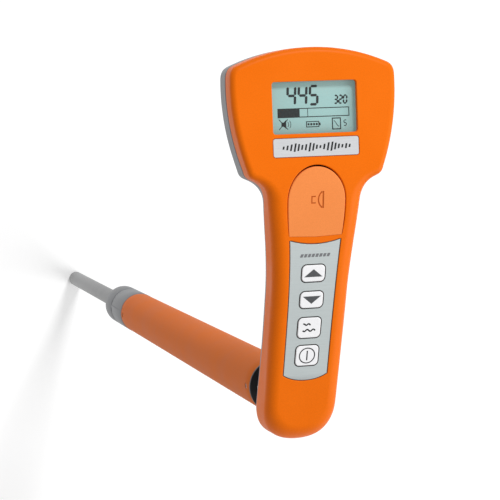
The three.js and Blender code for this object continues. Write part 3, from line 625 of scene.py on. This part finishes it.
half_outline = np.vstack([
    curve((0, GRIP_END_Y), (13, GRIP_END_Y), (20.6, -17.5), (20.8, -3)),
    curve((20.8, -3), (21.1, 20), (21.4, 40), (21.5, 62))[1:],
    curve((21.5, 62), (21.6, 80), (24.3, 100), (25.6, 113.5))[1:],
    curve((25.6, 113.5), (26.3, 120), (29.2, 123.2), (33.8, 125.1))[1:],
    curve((33.8, 125.1), (36.1, 126.2), (36.9, 127.4), (37.4, 129.6))[1:],
    arc((45.2 - 130, 174), 130, -19.97, 2.3)[1:],
    curve((45.1, 179.2), (44.8, 183.9), (41.4, 185.5))[1:],
    arc((0, 93.4), 101, 65.8, 90)[1:]])
outline = evenly(mirrored(half_outline), 640)
out = outward(outline, 5)
outline_y = outline[:, 1]
on_head = eased(outline_y, 112, 130)
at_grip_end = 1 - eased(outline_y, -20, 0)
parting = parting_depth(outline_y)
front_round = (SIDE_ROUND + (HEAD_ROUND - SIDE_ROUND) * on_head
               + (END_ROUND - SIDE_ROUND) * at_grip_end)
quarter = np.radians(np.linspace(0, 90, 11))


def front_rings():
    """rings from under the face, round the rim and up to the face"""
    rim = parting - HALF_SLIT
    inner_round = np.maximum(front_round - WALL, 0.6)
    inner = [ring(outline, out, -WALL - inner_round * (1 - math.cos(t)),
                  -WALL - inner_round * (1 - math.sin(t))) for t in quarter[::-1]]
    inner.append(ring(outline, out, -WALL, -rim))
    outer = [ring(outline, out, -0.3, -rim), ring(outline, out, 0, 0.3 - rim)]
    outer += [ring(outline, out, -0.2 - front_round * (1 - math.cos(t)),
                   -front_round * (1 - math.sin(t))) for t in quarter]
    return inner + outer


def rounded_box(width, height, radius, y):
    x, half = width / 2 - radius, height / 2 - radius
    corners = [((x, y - half), -90), ((x, y + half), 0), ((-x, y + half), 90), ((-x, y - half), 180)]
    return np.vstack([arc(centre, radius, start, start + 90, 9) for centre, start in corners])


def sunk(name, points, depth, flare=0.0, spare=0.0):
    """a cutter for an opening in a face, with a rounded lip"""
    steps = [(spare, -depth), (spare, -flare)]
    if np.any(flare):
        steps += [(spare - offset, height) for offset, height in rolled(flare, 0, quarter[2::2])]
    return stacked(name, points, steps + [(spare + flare, 3)])


GAP = 0.3
WINDOW_WIDTH, WINDOW_HEIGHT, WINDOW_Y = 46, 27.4, 162.5
PLATE_WIDTH, PLATE_HEIGHT, PLATE_Y = 46.6, 9.8, 141.6
KEY_WIDTH, KEY_ROUND = 12.7, 2.4
KEY_PLACES = {"key_up": (73.6, 9.9), "key_down": (58.8, 9.9),
              "key_filter": (42.9, 12.6), "key_power": (26.8, 12.7)}
THUMB_TOP, THUMB_ROOM = 131.3, 0.6

keypad_half = np.vstack([
    curve((0, 12.4), (7.4, 12.4), (12.4, 15.8)),
    curve((12.4, 15.8), (12.4, 45), (12.4, 70), (14, 92))[1:],
    curve((14, 92), (7, 89.7), (0, 89.7))[1:]])
keypad_outline = mirrored(keypad_half)


def thumb_outline(top, foot=0.0):
    """straight foot, bulging sides and a half-round top"""
    rise = arc((0, 0), 1, 0, 90, 32) * (15.7, top - 113) + (0, 113)
    half = np.vstack([curve((0, 93.9 - foot), (14.4, 94.5 - foot), steps=4),
                      curve((14.4, 94.5 - foot), (15.7, 103), (15.7, 113))[1:], rise[1:]])
    return mirrored(half)


def lip(points):
    """the edges round the thumb button are rounder at its sides than at its foot"""
    return 0.12 + 0.48 * eased(points[:, 1], 94, 104)


def key_outline(y, height):
    """a key's length lies along the sloping face, so it is shorter when laid flat"""
    slope = face_height(y + 0.5) - face_height(y - 0.5)
    return rounded_box(KEY_WIDTH, height / math.hypot(1, slope), KEY_ROUND, y)


orange = grained("orange_shell", (0.93, 0.175, 0.001), (0.86, 0.154, 0.001), 0.42, 1500.0, 0.03,
                 gloss=0.1)
front = lofted("front_shell", front_rings())
combine(front, sunk("opening", rounded_box(WINDOW_WIDTH, WINDOW_HEIGHT, 1.5, WINDOW_Y), 8, 0.5))
combine(front, sunk("opening", rounded_box(PLATE_WIDTH, PLATE_HEIGHT, 1.2, PLATE_Y), 0.9, 0.2, GAP))
combine(front, sunk("opening", keypad_outline, 1, 0.5, GAP))
thumb_hole = thumb_outline(THUMB_TOP + THUMB_ROOM)
combine(front, sunk("opening", thumb_hole, 11, lip(thumb_hole), GAP))
for key_y, key_height in KEY_PLACES.values():
    combine(front, sunk("opening", key_outline(key_y, key_height), 8, spare=GAP))
follow(front, face_height)
even_shading(front)
fit(front, "receiver", "orange_shell", orange, "front_shell")

# ---- rear shell, seal and battery cover -----------------------------------------------------
# The lower half is moulded in grey. A rubber seal lies in the slit between the halves, and six
# screws close them from behind. A flat cover slides off the head over the battery bay.

REAR_HEAD_ROUND, REAR_SIDE_ROUND, REAR_END_ROUND = 5.5, 14, 10
HEAD_BACK_WALL = 4.5
BACK_BEND = (75, 140)
COVER_HALF, COVER_THICKNESS, COVER_START_Y = 33.2, 2, 128.3
CELL_PITCH, CELL_RADIUS, CELL_LENGTH, CELL_START_Y = 14.8, 7.25, 50.5, 133


def back_height(y):
    """height of the receiver's back above the top of the tube"""
    return bent(y, GRIP_SLOPE, (BACK_BEND[0], 61.2), (119.5, 81), (BACK_BEND[1], 81))


rim_height = face_height(outline_y) - back_height(outline_y) - parting - HALF_SLIT
rear_in = (REAR_END_ROUND + (REAR_SIDE_ROUND - REAR_END_ROUND) * eased(outline_y, -22, 20)
           + (REAR_HEAD_ROUND - REAR_SIDE_ROUND) * on_head)
rear_up = (rim_height - 0.6) * (1 - on_head) + 6 * on_head
rear_step = 0.6 * (1 - on_head)


def rear_outer():
    """rings from the back up to the rim"""
    rings = [ring(outline, out, -rear_step - rear_in * (1 - math.cos(t)), rear_up * (1 - math.sin(t)))
             for t in quarter[::-1]]
    return rings + [ring(outline, out, -rear_step, rim_height - 0.3),
                    ring(outline, out, -rear_step - 0.3, rim_height)]


def rear_inner():
    """rings from the rim down to the floor inside"""
    floor_height = WALL + (HEAD_BACK_WALL - WALL) * on_head
    inside_in = rear_in - 1.6
    inside_up = np.minimum(rear_up, rim_height - floor_height - 0.5)
    rings = [ring(outline, out, -rear_step - WALL - inside_in * (1 - math.cos(t)),
                  floor_height + inside_up * (1 - math.sin(t))) for t in quarter]
    return [ring(outline, out, -rear_step - WALL, rim_height)] + rings


# x, y and how far the head lies in, for a screw on each side
CASE_SCREWS = [(side * x, y, sunk_in) for x, y, sunk_in in ((38, 170, 2.2), (18, 104, 5), (15.5, 2, 4.4))
               for side in (1, -1)]
SCREW_LENGTH = 22

grey_plastic = grained("grey_shell", (0.27, 0.275, 0.29), (0.22, 0.225, 0.24), 0.5, 1500.0, 0.03)


def screw_well(radius, high, x, y, steps=48):
    """a cutter for a hole up from the back"""
    low = -5
    return bar("screw_well", radius, high - low, (x, y, (low + high) / 2), steps)


rear = lofted("rear_shell", rear_outer() + rear_inner())
combine(rear, block("cover_recess", (2 * (COVER_HALF + GAP), 90, 7.3),
                    (0, COVER_START_Y - GAP + 45, COVER_THICKNESS + GAP - 3.65)))
combine(rear, block("battery_bay", (4 * CELL_PITCH + 1.2, CELL_LENGTH + 1.2, 12),
                    (0, CELL_START_Y + CELL_LENGTH / 2, 3)))
for x, y, sunk_in in CASE_SCREWS:
    combine(rear, screw_well(3, sunk_in + 2.3, x, y))
    combine(rear, screw_well(1.7, 16, x, y, 24))
follow(rear, back_height, *BACK_BEND)
drill_for_neck_screws(rear)
even_shading(rear)
fit(rear, "receiver", "grey_shell", grey_plastic, "rear_shell")

gasket_corners = [(0.4, -0.3), (0.4, 0.3), (2.2, 0.3), (2.2, -0.3)]
gasket = lofted("shell_gasket", [ring(outline, out, -rear_step - inset, height - parting)
                                 for inset, height in gasket_corners], looped=True)
follow(gasket, face_height)
smooth(gasket)
fit(gasket, "receiver", "black_rubber", rubber, "shell_gasket")

cover = lofted("battery_cover", rear_outer())
cover_blank = block("cover_blank", (2 * COVER_HALF, 90, 7), (0, COVER_START_Y + 45, COVER_THICKNESS - 3.5))
combine(cover, cover_blank, "INTERSECT")
for k in range(5):
    combine(cover, block("thumb_groove", (22, 1, 1.6), (0, 136 + 2.6 * k, 0)))
combine(cover, block("slide_mark", (1.2, 3, 1), (0, 151, 0)))
round_edges(cover, 0.25)
follow(cover, back_height, *BACK_BEND)
even_shading(cover)
fit(cover, "cover", "grey_shell", grey_plastic, "battery_cover")

for number, (x, y, sunk_in) in enumerate(CASE_SCREWS, 1):
    name = f"case_screw_{number}"
    screw = spun(name, [(0, 0), (2.2, 0), (2.7, 0.6), (2.7, 2), (1.4, 2), (1.4, SCREW_LENGTH),
                        (0, SCREW_LENGTH)], 48)
    for size in ((3.2, 0.7, 2), (0.7, 3.2, 2)):
        combine(screw, block("cross_slot", size, (0, 0, 0)))
    move(screw, (x, y, NECK_Z + float(back_height(y)) + sunk_in))
    round_and_fit(screw, 0.1, "receiver", "plated_steel", plated, name)

# ---- display --------------------------------------------------------------------------------
# A clear acrylic window is let into the face. Under it lies a grey-green segment display with a
# white backlight plate behind it, and all of it stands on the main board. The display's faint
# glow is painted light; the plate itself gives none.

DISPLAY_TOP = FACE_Z - 4.4


def clear_acrylic():
    """clear plastic that is hardly seen, with faint wiping marks in its gloss"""
    material, node, link, place = new_material("clear_window", {
        "Base Color": (0.8, 0.88, 0.87, 1), "Alpha": 0.02, "Specular IOR Level": 0.12})
    wiped = node("Mapping", {"Vector": place, "Scale": (60, 400, 60), "Rotation": (0, 0, 0.6)})
    marks = node("TexNoise", {"Vector": wiped.outputs["Vector"], "Scale": 1.0, "Detail": 5.0})
    rough = node("MapRange", {"Value": marks.outputs["Fac"], "To Min": 0.05, "To Max": 0.2})
    link(rough.outputs["Result"], "Roughness")
    return material


def display_glass_painted_glow():
    """reflective liquid crystal: grey-green, a little cloudy, over a fine pressed grain, with a faint
    painted glow
    """
    # the emission is painted light: a faint glow that lifts the shade in the display's deep recess
    material, node, link, place = new_material("lcd_glass", {
        "Emission Color": (0.33, 0.52, 0.505, 1), "Emission Strength": 0.3})
    cloud = node("TexNoise", {"Vector": place, "Scale": 25.0, "Detail": 3.0})
    grain = node("TexNoise", {"Vector": place, "Scale": 6000.0, "Detail": 2.0})
    tone = node("MixRGB", {"Fac": cloud.outputs["Fac"], "Color1": (0.2, 0.36, 0.35, 1),
                           "Color2": (0.25, 0.42, 0.405, 1)})
    link(tone.outputs["Color"], "Base Color")
    bump = node("Bump", {"Height": grain.outputs["Fac"], "Strength": 0.15, "Distance": 0.01 * MM})
    link(bump.outputs["Normal"], "Normal")
    rough = node("MapRange", {"Value": cloud.outputs["Fac"], "To Min": 0.4, "To Max": 0.55})
    link(rough.outputs["Result"], "Roughness")
    return material


def print_and_shade_ink(name, colour, worn):
    """a thin print, a little uneven; also a thin coat of painted shade"""
    material, node, link, place = new_material(name, {"Roughness": 0.5, "Specular IOR Level": 0.2})
    patches = node("TexNoise", {"Vector": place, "Scale": 700.0, "Detail": 4.0})
    tone = node("MixRGB", {"Fac": patches.outputs["Fac"], "Color1": (*colour, 1), "Color2": (*worn, 1)})
    link(tone.outputs["Color"], "Base Color")
    return material


def raised(piece, height):
    """moves a piece up from the top of the tube, by millimetres"""
    move(piece, (0, 0, NECK_Z + height))


def prisms(name, shapes, low, high):
    """upright prisms on flat outlines, all in one piece"""
    points, faces = [], []
    for shape in shapes:
        first, count = len(points), len(shape)
        points += [(x, y, low) for x, y in shape] + [(x, y, high) for x, y in shape]
        faces.append([first + i for i in range(count)][::-1])
        faces.append([first + count + i for i in range(count)])
        faces += [(first + i, first + (i + 1) % count, first + count + (i + 1) % count, first + count + i)
                  for i in range(count)]
    piece = mesh_piece(name, points, (), faces)
    turn_faces_out(piece)
    return piece


def box_at(x, y, width, height):
    """corners of a box, from its lower left one"""
    return [(x, y), (x + width, y), (x + width, y + height), (x, y + height)]


def frame_bars(x, y, width, height, stroke):
    """four bars round a box"""
    return [box_at(x, y, width, stroke), box_at(x, y + height - stroke, width, stroke),
            box_at(x, y + stroke, stroke, height - 2 * stroke),
            box_at(x + width - stroke, y + stroke, stroke, height - 2 * stroke)]


def ribbon(points, width):
    """a line of one width along points"""
    points = np.array(points, float)
    along = np.gradient(points, axis=0)
    side = np.column_stack([-along[:, 1], along[:, 0]])
    side *= width / 2 / np.linalg.norm(side, axis=1)[:, None]
    return [tuple(p) for p in np.vstack([points - side, (points + side)[::-1]])]


DIGIT_LEAN = 0.06
SEGMENTS = {"0": "abcdef", "2": "abged", "3": "abgcd", "4": "fgbc", "5": "afgcd"}


def digit(figure, x, y, width, height, stroke):
    """one seven-segment figure from its lower left corner, leaning a little"""
    s, half = stroke / 2, height / 2
    across = [(s * 1.1, -s), (width - s * 1.1, -s), (width - s * 0.3, 0),
              (width - s * 1.1, s), (s * 1.1, s), (s * 0.3, 0)]
    upward = [(s, s * 1.1), (s, half - s * 1.1), (0, half - s * 0.3),
              (-s, half - s * 1.1), (-s, s * 1.1), (0, s * 0.3)]
    places = {"a": (across, 0, height), "g": (across, 0, half), "d": (across, 0, 0),
              "b": (upward, width, half), "c": (upward, width, 0),
              "f": (upward, 0, half), "e": (upward, 0, 0)}
    shapes = []
    for letter in SEGMENTS[figure]:
        shape, dx, dy = places[letter]
        shapes.append([(x + dx + px + DIGIT_LEAN * (dy + py), y + dy + py) for px, py in shape])
    return shapes


FLANGE_DEPTH = WALL + 0.9
window_land = rounded_box(WINDOW_WIDTH - 2 * GAP, WINDOW_HEIGHT - 2 * GAP, 1.2, WINDOW_Y)
window = stacked("display_window", window_land, [(0, -FLANGE_DEPTH), (0, -1)])
combine(window, block("flange", (WINDOW_WIDTH + 4, WINDOW_HEIGHT + 4, 1.2), (0, WINDOW_Y, -FLANGE_DEPTH)),
        "UNION")
raised(window, FACE_Z)
round_and_fit(window, 0.2, "receiver", "clear_window", clear_acrylic(), "display_window")

lcd = block("lcd_panel", (48, 29.4, 2), (0, WINDOW_Y, DISPLAY_TOP - 1))
raised(lcd, 0)
round_and_fit(lcd, 0.15, "receiver", "lcd_glass", display_glass_painted_glow(), "lcd_panel")

SCREEN_SHIFT = 0.6
screen_left, screen_top = SCREEN_SHIFT - WINDOW_WIDTH / 2, WINDOW_Y + WINDOW_HEIGHT / 2


def on_screen(across, down):
    """a place on the screen, by shares of its width and height"""
    return screen_left + WINDOW_WIDTH * across, screen_top - WINDOW_HEIGHT * down


shapes = []
x, y = on_screen(0.185, 0.445)
for k, figure in enumerate("445"):
    shapes += digit(figure, x + 6.1 * k, y, 4.1, 9.6, 1.35)
x, y = on_screen(0.742, 0.44)
for k, figure in enumerate("320"):
    shapes += digit(figure, x + 2.55 * k, y, 1.75, 4.1, 0.85)
left, low = on_screen(0.066, 0.69)
right, high = on_screen(0.919, 0.51)
shapes += frame_bars(left, low, right - left, high - low, 0.45)
shapes.append(box_at(left + 0.35, low + 0.35, on_screen(0.32, 0)[0] - left, high - low - 0.7))
shapes.append(box_at(on_screen(0.42, 0)[0], low + 0.35, 0.3, high - low - 0.7))
x, y = on_screen(0.075, 0.925)
shapes += [box_at(x + 1.5, y + 1.9, 1.2, 2.2),
           [(x + 2.7, y + 1.9), (x + 4.1, y + 0.7), (x + 4.1, y + 5.3), (x + 2.7, y + 4.1)],
           ribbon([(x + 0.2, y + 0.3), (x + 5, y + 5.7)], 0.4),
           ribbon([(x + 0.2, y + 5.7), (x + 5, y + 0.3)], 0.4),
           ribbon(arc((x + 3.2, y + 3), 2.2, -38, 38, 9), 0.3),
           ribbon(arc((x + 3.2, y + 3), 3.4, -34, 34, 9), 0.3)]
x, y = on_screen(0.40, 0.885)
shapes += frame_bars(x, y, 7.2, 3.2, 0.45) + [box_at(x + 7.2, y + 0.9, 0.7, 1.4)]
shapes += [ribbon(arc((x + 1.35 + 1.5 * k, y + 1.6), 0.33, 0, 350, 13), 0.62) for k in range(4)]
x, y = on_screen(0.708, 0.945)
shapes += frame_bars(x, y, 5, 6.3, 0.55)
falling = curve((x + 1, y + 4.6), (x + 1.9, y + 5.2), (x + 2.8, y + 1.1), (x + 4, y + 1.8), steps=12)
shapes.append(ribbon(falling, 0.35))
x, y = on_screen(0.85, 0.875)
shapes += digit("5", x, y, 1.3, 2.9, 0.45)
lcd_ink = print_and_shade_ink("lcd_ink", (0.002, 0.004, 0.005), (0.005, 0.009, 0.01))
readout = prisms("lcd_readout", shapes, DISPLAY_TOP + 0.02, DISPLAY_TOP + 0.06)
raised(readout, 0)
fit(readout, "receiver", None, lcd_ink)

white_plastic = grained("white_plastic", (0.85, 0.85, 0.84), (0.76, 0.76, 0.75), 0.5, 1500.0, 0.02)
backlight = block("lcd_backlight", (49, 30.4, 2.2), (0, WINDOW_Y, DISPLAY_TOP - 2.3 - 1.1))
raised(backlight, 0)
round_and_fit(backlight, 0.3, "receiver", "white_plastic", white_plastic, "lcd_backlight")
keep("circuit_board", board, "main_board")

# ---- type plate -----------------------------------------------------------------------------
# A thin silver foil label, stuck into a shallow recess under the display. It carries a plain
# row of slanted level bars of different heights, printed in dark grey.


def silver_foil(name, colour, shade):
    """matt silver foil with a fine brushed grain"""
    material, node, link, place = new_material(name, {"Metallic": 0.25})
    brushed = node("Mapping", {"Vector": place, "Scale": (90, 2200, 900)})
    grain = node("TexNoise", {"Vector": brushed.outputs["Vector"], "Scale": 1.0, "Detail": 3.0})
    tone = node("MixRGB", {"Fac": grain.outputs["Fac"], "Color1": (*shade, 1), "Color2": (*colour, 1)})
    link(tone.outputs["Color"], "Base Color")
    rough = node("MapRange", {"Value": grain.outputs["Fac"], "To Min": 0.35, "To Max": 0.5})
    link(rough.outputs["Result"], "Roughness")
    return material


plate_land = rounded_box(PLATE_WIDTH, PLATE_HEIGHT, 1.2, PLATE_Y)
label = stacked("type_plate", plate_land, [(0, -0.6), (0, -0.25), (-0.15, -0.1)])
raised(label, FACE_Z)
smooth(label)
foil = silver_foil("silver_plate", (0.72, 0.73, 0.75), (0.6, 0.61, 0.63))
fit(label, "receiver", "silver_plate", foil, "type_plate")

dark_ink = print_and_shade_ink("dark_ink", (0.012, 0.013, 0.014), (0.026, 0.028, 0.03))
BAR_WIDTH, BAR_PITCH, BAR_LEAN = 0.95, 2, 0.2
levels = (1.6, 2.4, 3.4, 4.4, 3.6, 2.6, 3.2, 4.6, 3.8, 2.2, 1.5, 2.8, 4.2, 4.8, 3.5, 2.4, 1.8, 2.6, 1.7)
bars = []
for k, level in enumerate(levels):
    x = BAR_PITCH * (k - 9.2)
    low, high, lean = PLATE_Y - level / 2, PLATE_Y + level / 2, BAR_LEAN * level
    bars.append([(x, low), (x + BAR_WIDTH, low), (x + BAR_WIDTH + lean, high), (x + lean, high)])
print_marks = prisms("type_plate_print", bars, -0.11, -0.06)
raised(print_marks, FACE_Z)
fit(print_marks, "receiver", None, dark_ink)

# ---- thumb button ---------------------------------------------------------------------------
# An orange lever for the thumb, with a sunken loudspeaker sign, dark orange in its grooves as
# painted shade. It swings on a steel pin under the strip below it, and its middle pushes a white
# plunger into a switch on a small board.

THUMB_PIVOT_Y = 92.3
LUG_END_Y = THUMB_PIVOT_Y + 7
pivot_height = float(face_height(THUMB_PIVOT_Y)) - 6

thumb_land = thumb_outline(THUMB_TOP, 0.2)
thumb = stacked("thumb_button", thumb_land,
                [(-0.3, -2.8), (0, -2.5), *rolled(lip(thumb_land), -0.1, quarter[::2])])
sign = [box_at(3, 109, 0.9, 9.1), ribbon(arc((6.2, 113.6), 5.4, 128, 232, 24), 0.75),
        box_at(-3.1, 111.6, 0.65, 4.1), box_at(-3.1, 111.6, 2.4, 0.65), box_at(-3.1, 115.05, 2.4, 0.65)]
for shape in sign:
    combine(thumb, prisms("sign", [shape], -0.45, 1))
follow(thumb, face_height)
for start in (9.3, -11.7):
    lug = side_plate("lug", [(y, NECK_Z + z) for y, z in [
        (THUMB_PIVOT_Y - 1.6, pivot_height - 1.7), (LUG_END_Y, pivot_height - 1),
        (LUG_END_Y, float(face_height(LUG_END_Y)) - 2),
        (95.1, float(face_height(95.1)) - 2), (95.1, pivot_height + 1.7),
        (THUMB_PIVOT_Y - 1.6, pivot_height + 1.7)]], start, start + 2.4)
    combine(thumb, lug, "UNION")
combine(thumb, cross_rod("pin_hole", 1.2, -15, 15, THUMB_PIVOT_Y, NECK_Z + pivot_height, 32))
even_shading(thumb)
worn_orange = grained("thumb_orange", (0.95, 0.29, 0.07), (0.88, 0.25, 0.052), 0.55, 1500.0, 0.05,
                      gloss=0.25)
fit(thumb, "thumb_lever", "orange_shell", worn_orange, "thumb_button")
# a dark orange lining at the floor of the sign's grooves: painted shade in the sunken strokes
sign_bars = [box_at(-2.45, 111.6, 1.75, 0.65), box_at(-2.45, 115.05, 1.75, 0.65)]
sign_groove_shade = prisms("thumb_sign_painted_shade", sign[:3] + sign_bars, -0.44, -0.38)
follow(sign_groove_shade, face_height)
sign_painted_shade = print_and_shade_ink("sign_painted_shade", (0.5, 0.1, 0.008), (0.58, 0.13, 0.012))
fit(sign_groove_shade, "thumb_lever", None, sign_painted_shade)

pin = cross_rod("thumb_pivot_pin", 0.9, -14.2, 14.2, THUMB_PIVOT_Y, NECK_Z + pivot_height, 32)
round_and_fit(pin, 0.15, "receiver", "plated_steel", plated, "thumb_pivot_pin")
keep("circuit_board", board, "thumb_switch_board")
keep("black_plastic", black_plastic, "thumb_switch")
keep("white_plastic", white_plastic, "switch_plunger")

# ---- keypad ---------------------------------------------------------------------------------
# A silver printed film lies in a recess down the grip, with a black band painted into the gap round
# it as shade. Four white keys stand a little proud of it, each with a dark rim and a sign printed
# in grey or black.

KEY_PROUD, KEY_THICKNESS, KEY_ROLL = 0.4, 2.6, 0.5
KEY_RIM = (0.25, 0.58)


def border(name, points, across, heights):
    """a thin band round an outline, laid onto the face"""
    (inner, outer), (low, high) = across, heights
    band = stacked(name, points, [(inner, low), (outer, low), (outer, high), (inner, high)], looped=True)
    turn_faces_out(band)
    follow(band, face_height)
    return band


film = silver_foil("silver_overlay", (0.6, 0.655, 0.655), (0.52, 0.57, 0.57))
overlay = stacked("keypad_overlay", keypad_outline, [(-0.1, -0.7), (-0.1, -0.3), (-0.25, -0.15)])
for key_y, key_height in KEY_PLACES.values():
    combine(overlay, sunk("opening", key_outline(key_y, key_height), 8, spare=GAP))
follow(overlay, face_height)
smooth(overlay)
fit(overlay, "receiver", "silver_overlay", film, "keypad_overlay")

# a black band at the foot of the gap round the film: painted shade in that gap
fit(border("keypad_gap_shade", keypad_outline, (-0.05, 0.28), (-0.9, -0.3)), "receiver", "black_rubber", rubber)


def key_signs(name, y):
    """the sign on one key"""
    if name == "key_up":
        return [[(-5.1, y - 2.0), (5.1, y - 2.0), (0, y + 2.3)]]
    if name == "key_down":
        return [[(-5.1, y + 2.0), (0, y - 2.3), (5.1, y + 2.0)]]
    if name == "key_filter":
        wave = np.linspace(0, 1, 33)
        small = np.column_stack([-3.6 + 4.2 * wave, y + 1.9 + 0.38 * np.sin(wave * 10 + 0.6)])
        large = np.column_stack([-3.6 + 7.0 * wave, y - 1.5 - 0.55 * np.sin(wave * 13)])
        return [ribbon(small, 0.8), ribbon(large, 0.8)]
    return [ribbon(arc((0, y), 4.3, 0, 180, 33), 0.6), ribbon(arc((0, y), 4.3, 180, 360, 33), 0.6),
            box_at(-0.35, y - 2.8, 0.7, 5.6)]


DASH_LOW, DASH_HIGH, DASH_PITCH = 82.6, 84.4, 2.1
dashes = [[(x, DASH_LOW), (x + 1.5, DASH_LOW), (x + 2.1, DASH_HIGH), (x + 0.6, DASH_HIGH)]
          for x in np.arange(-8, 7, DASH_PITCH)]
mark = prisms("keypad_print", dashes, -0.16, -0.11)
follow(mark, face_height)
fit(mark, "receiver", None, print_and_shade_ink("pale_print", (0.16, 0.165, 0.175), (0.22, 0.225, 0.235)))

key_white = grained("white_key", (0.97, 0.97, 0.98), (0.92, 0.92, 0.94), 0.45, 1500.0, 0.02)
sign_grey = print_and_shade_ink("sign_grey", (0.07, 0.073, 0.08), (0.11, 0.115, 0.12))
for name, (key_y, key_height) in KEY_PLACES.items():
    land = key_outline(key_y, key_height)
    key = stacked(name, land, [(0, KEY_PROUD - KEY_THICKNESS), (0, KEY_PROUD - KEY_ROLL),
                               *rolled(KEY_ROLL, KEY_PROUD, quarter[2::2])])
    follow(key, face_height)
    even_shading(key)
    fit(key, name + "_cap", "white_key", key_white, name)
    marks = prisms(name + "_sign", key_signs(name, key_y), KEY_PROUD - 0.02, KEY_PROUD + 0.04)
    follow(marks, face_height)
    fit(marks, name + "_cap", None, sign_grey if name in ("key_up", "key_down") else dark_ink)
    rim = border(name + "_rim", land, KEY_RIM, (-0.6, -0.1))
    fit(rim, "receiver", None, dark_ink)
keep("circuit_board", board, "keypad_board")

# ---- battery cells --------------------------------------------------------------------------
# Four AA cells lie side by side between plated contact plates, under the sliding cover. Each
# has a printed jacket with a band at one end, and a small cap at the other.


def cell_jacket():
    """a dark jacket with a copper-coloured band at the capped end, and bare ends"""
    material, node, link, place = new_material("battery_jacket", {"Metallic": 0.5})
    along = node("SeparateXYZ", {"Vector": place})
    band = node("MapRange", {"Value": along.outputs["Y"], "From Min": (CELL_START_Y + 38) * MM,
                             "From Max": (CELL_START_Y + 38.3) * MM})
    worn = node("TexNoise", {"Vector": place, "Scale": 260.0, "Detail": 4.0})
    dark = node("MixRGB", {"Fac": worn.outputs["Fac"], "Color1": (0.018, 0.025, 0.045, 1),
                           "Color2": (0.03, 0.04, 0.065, 1)})
    tone = node("MixRGB", {"Fac": band.outputs["Result"], "Color1": dark.outputs["Color"],
                           "Color2": (0.5, 0.27, 0.12, 1)})
    link(tone.outputs["Color"], "Base Color")
    rough = node("MapRange", {"Value": worn.outputs["Fac"], "To Min": 0.22, "To Max": 0.42})
    link(rough.outputs["Result"], "Roughness")
    return material


jacket = cell_jacket()
cell_height = NECK_Z + FACE_Z - 30 + COVER_THICKNESS + 2 * GAP + CELL_RADIUS
for number, step in enumerate((-1.5, -0.5, 0.5, 1.5), 1):
    name = f"battery_cell_{number}"
    cell = spun(name, [(0, 0.2), (5.4, 0.2), (5.8, 0), (CELL_RADIUS - 0.3, 0), (CELL_RADIUS, 0.4),
                       (CELL_RADIUS, CELL_LENGTH - 1.7), (CELL_RADIUS - 0.4, CELL_LENGTH - 1.2),
                       (2.6, CELL_LENGTH - 1.2), (2.6, CELL_LENGTH - 0.2), (2.4, CELL_LENGTH),
                       (0, CELL_LENGTH)])
    cell.data.transform(Matrix.Rotation(-math.pi / 2, 4, "X"))
    move(cell, (step * CELL_PITCH, CELL_START_Y, cell_height))
    smooth(cell)
    fit(cell, "receiver", "battery_jacket", jacket, name)
keep("plated_steel", plated, "battery_contact_1", "battery_contact_2")
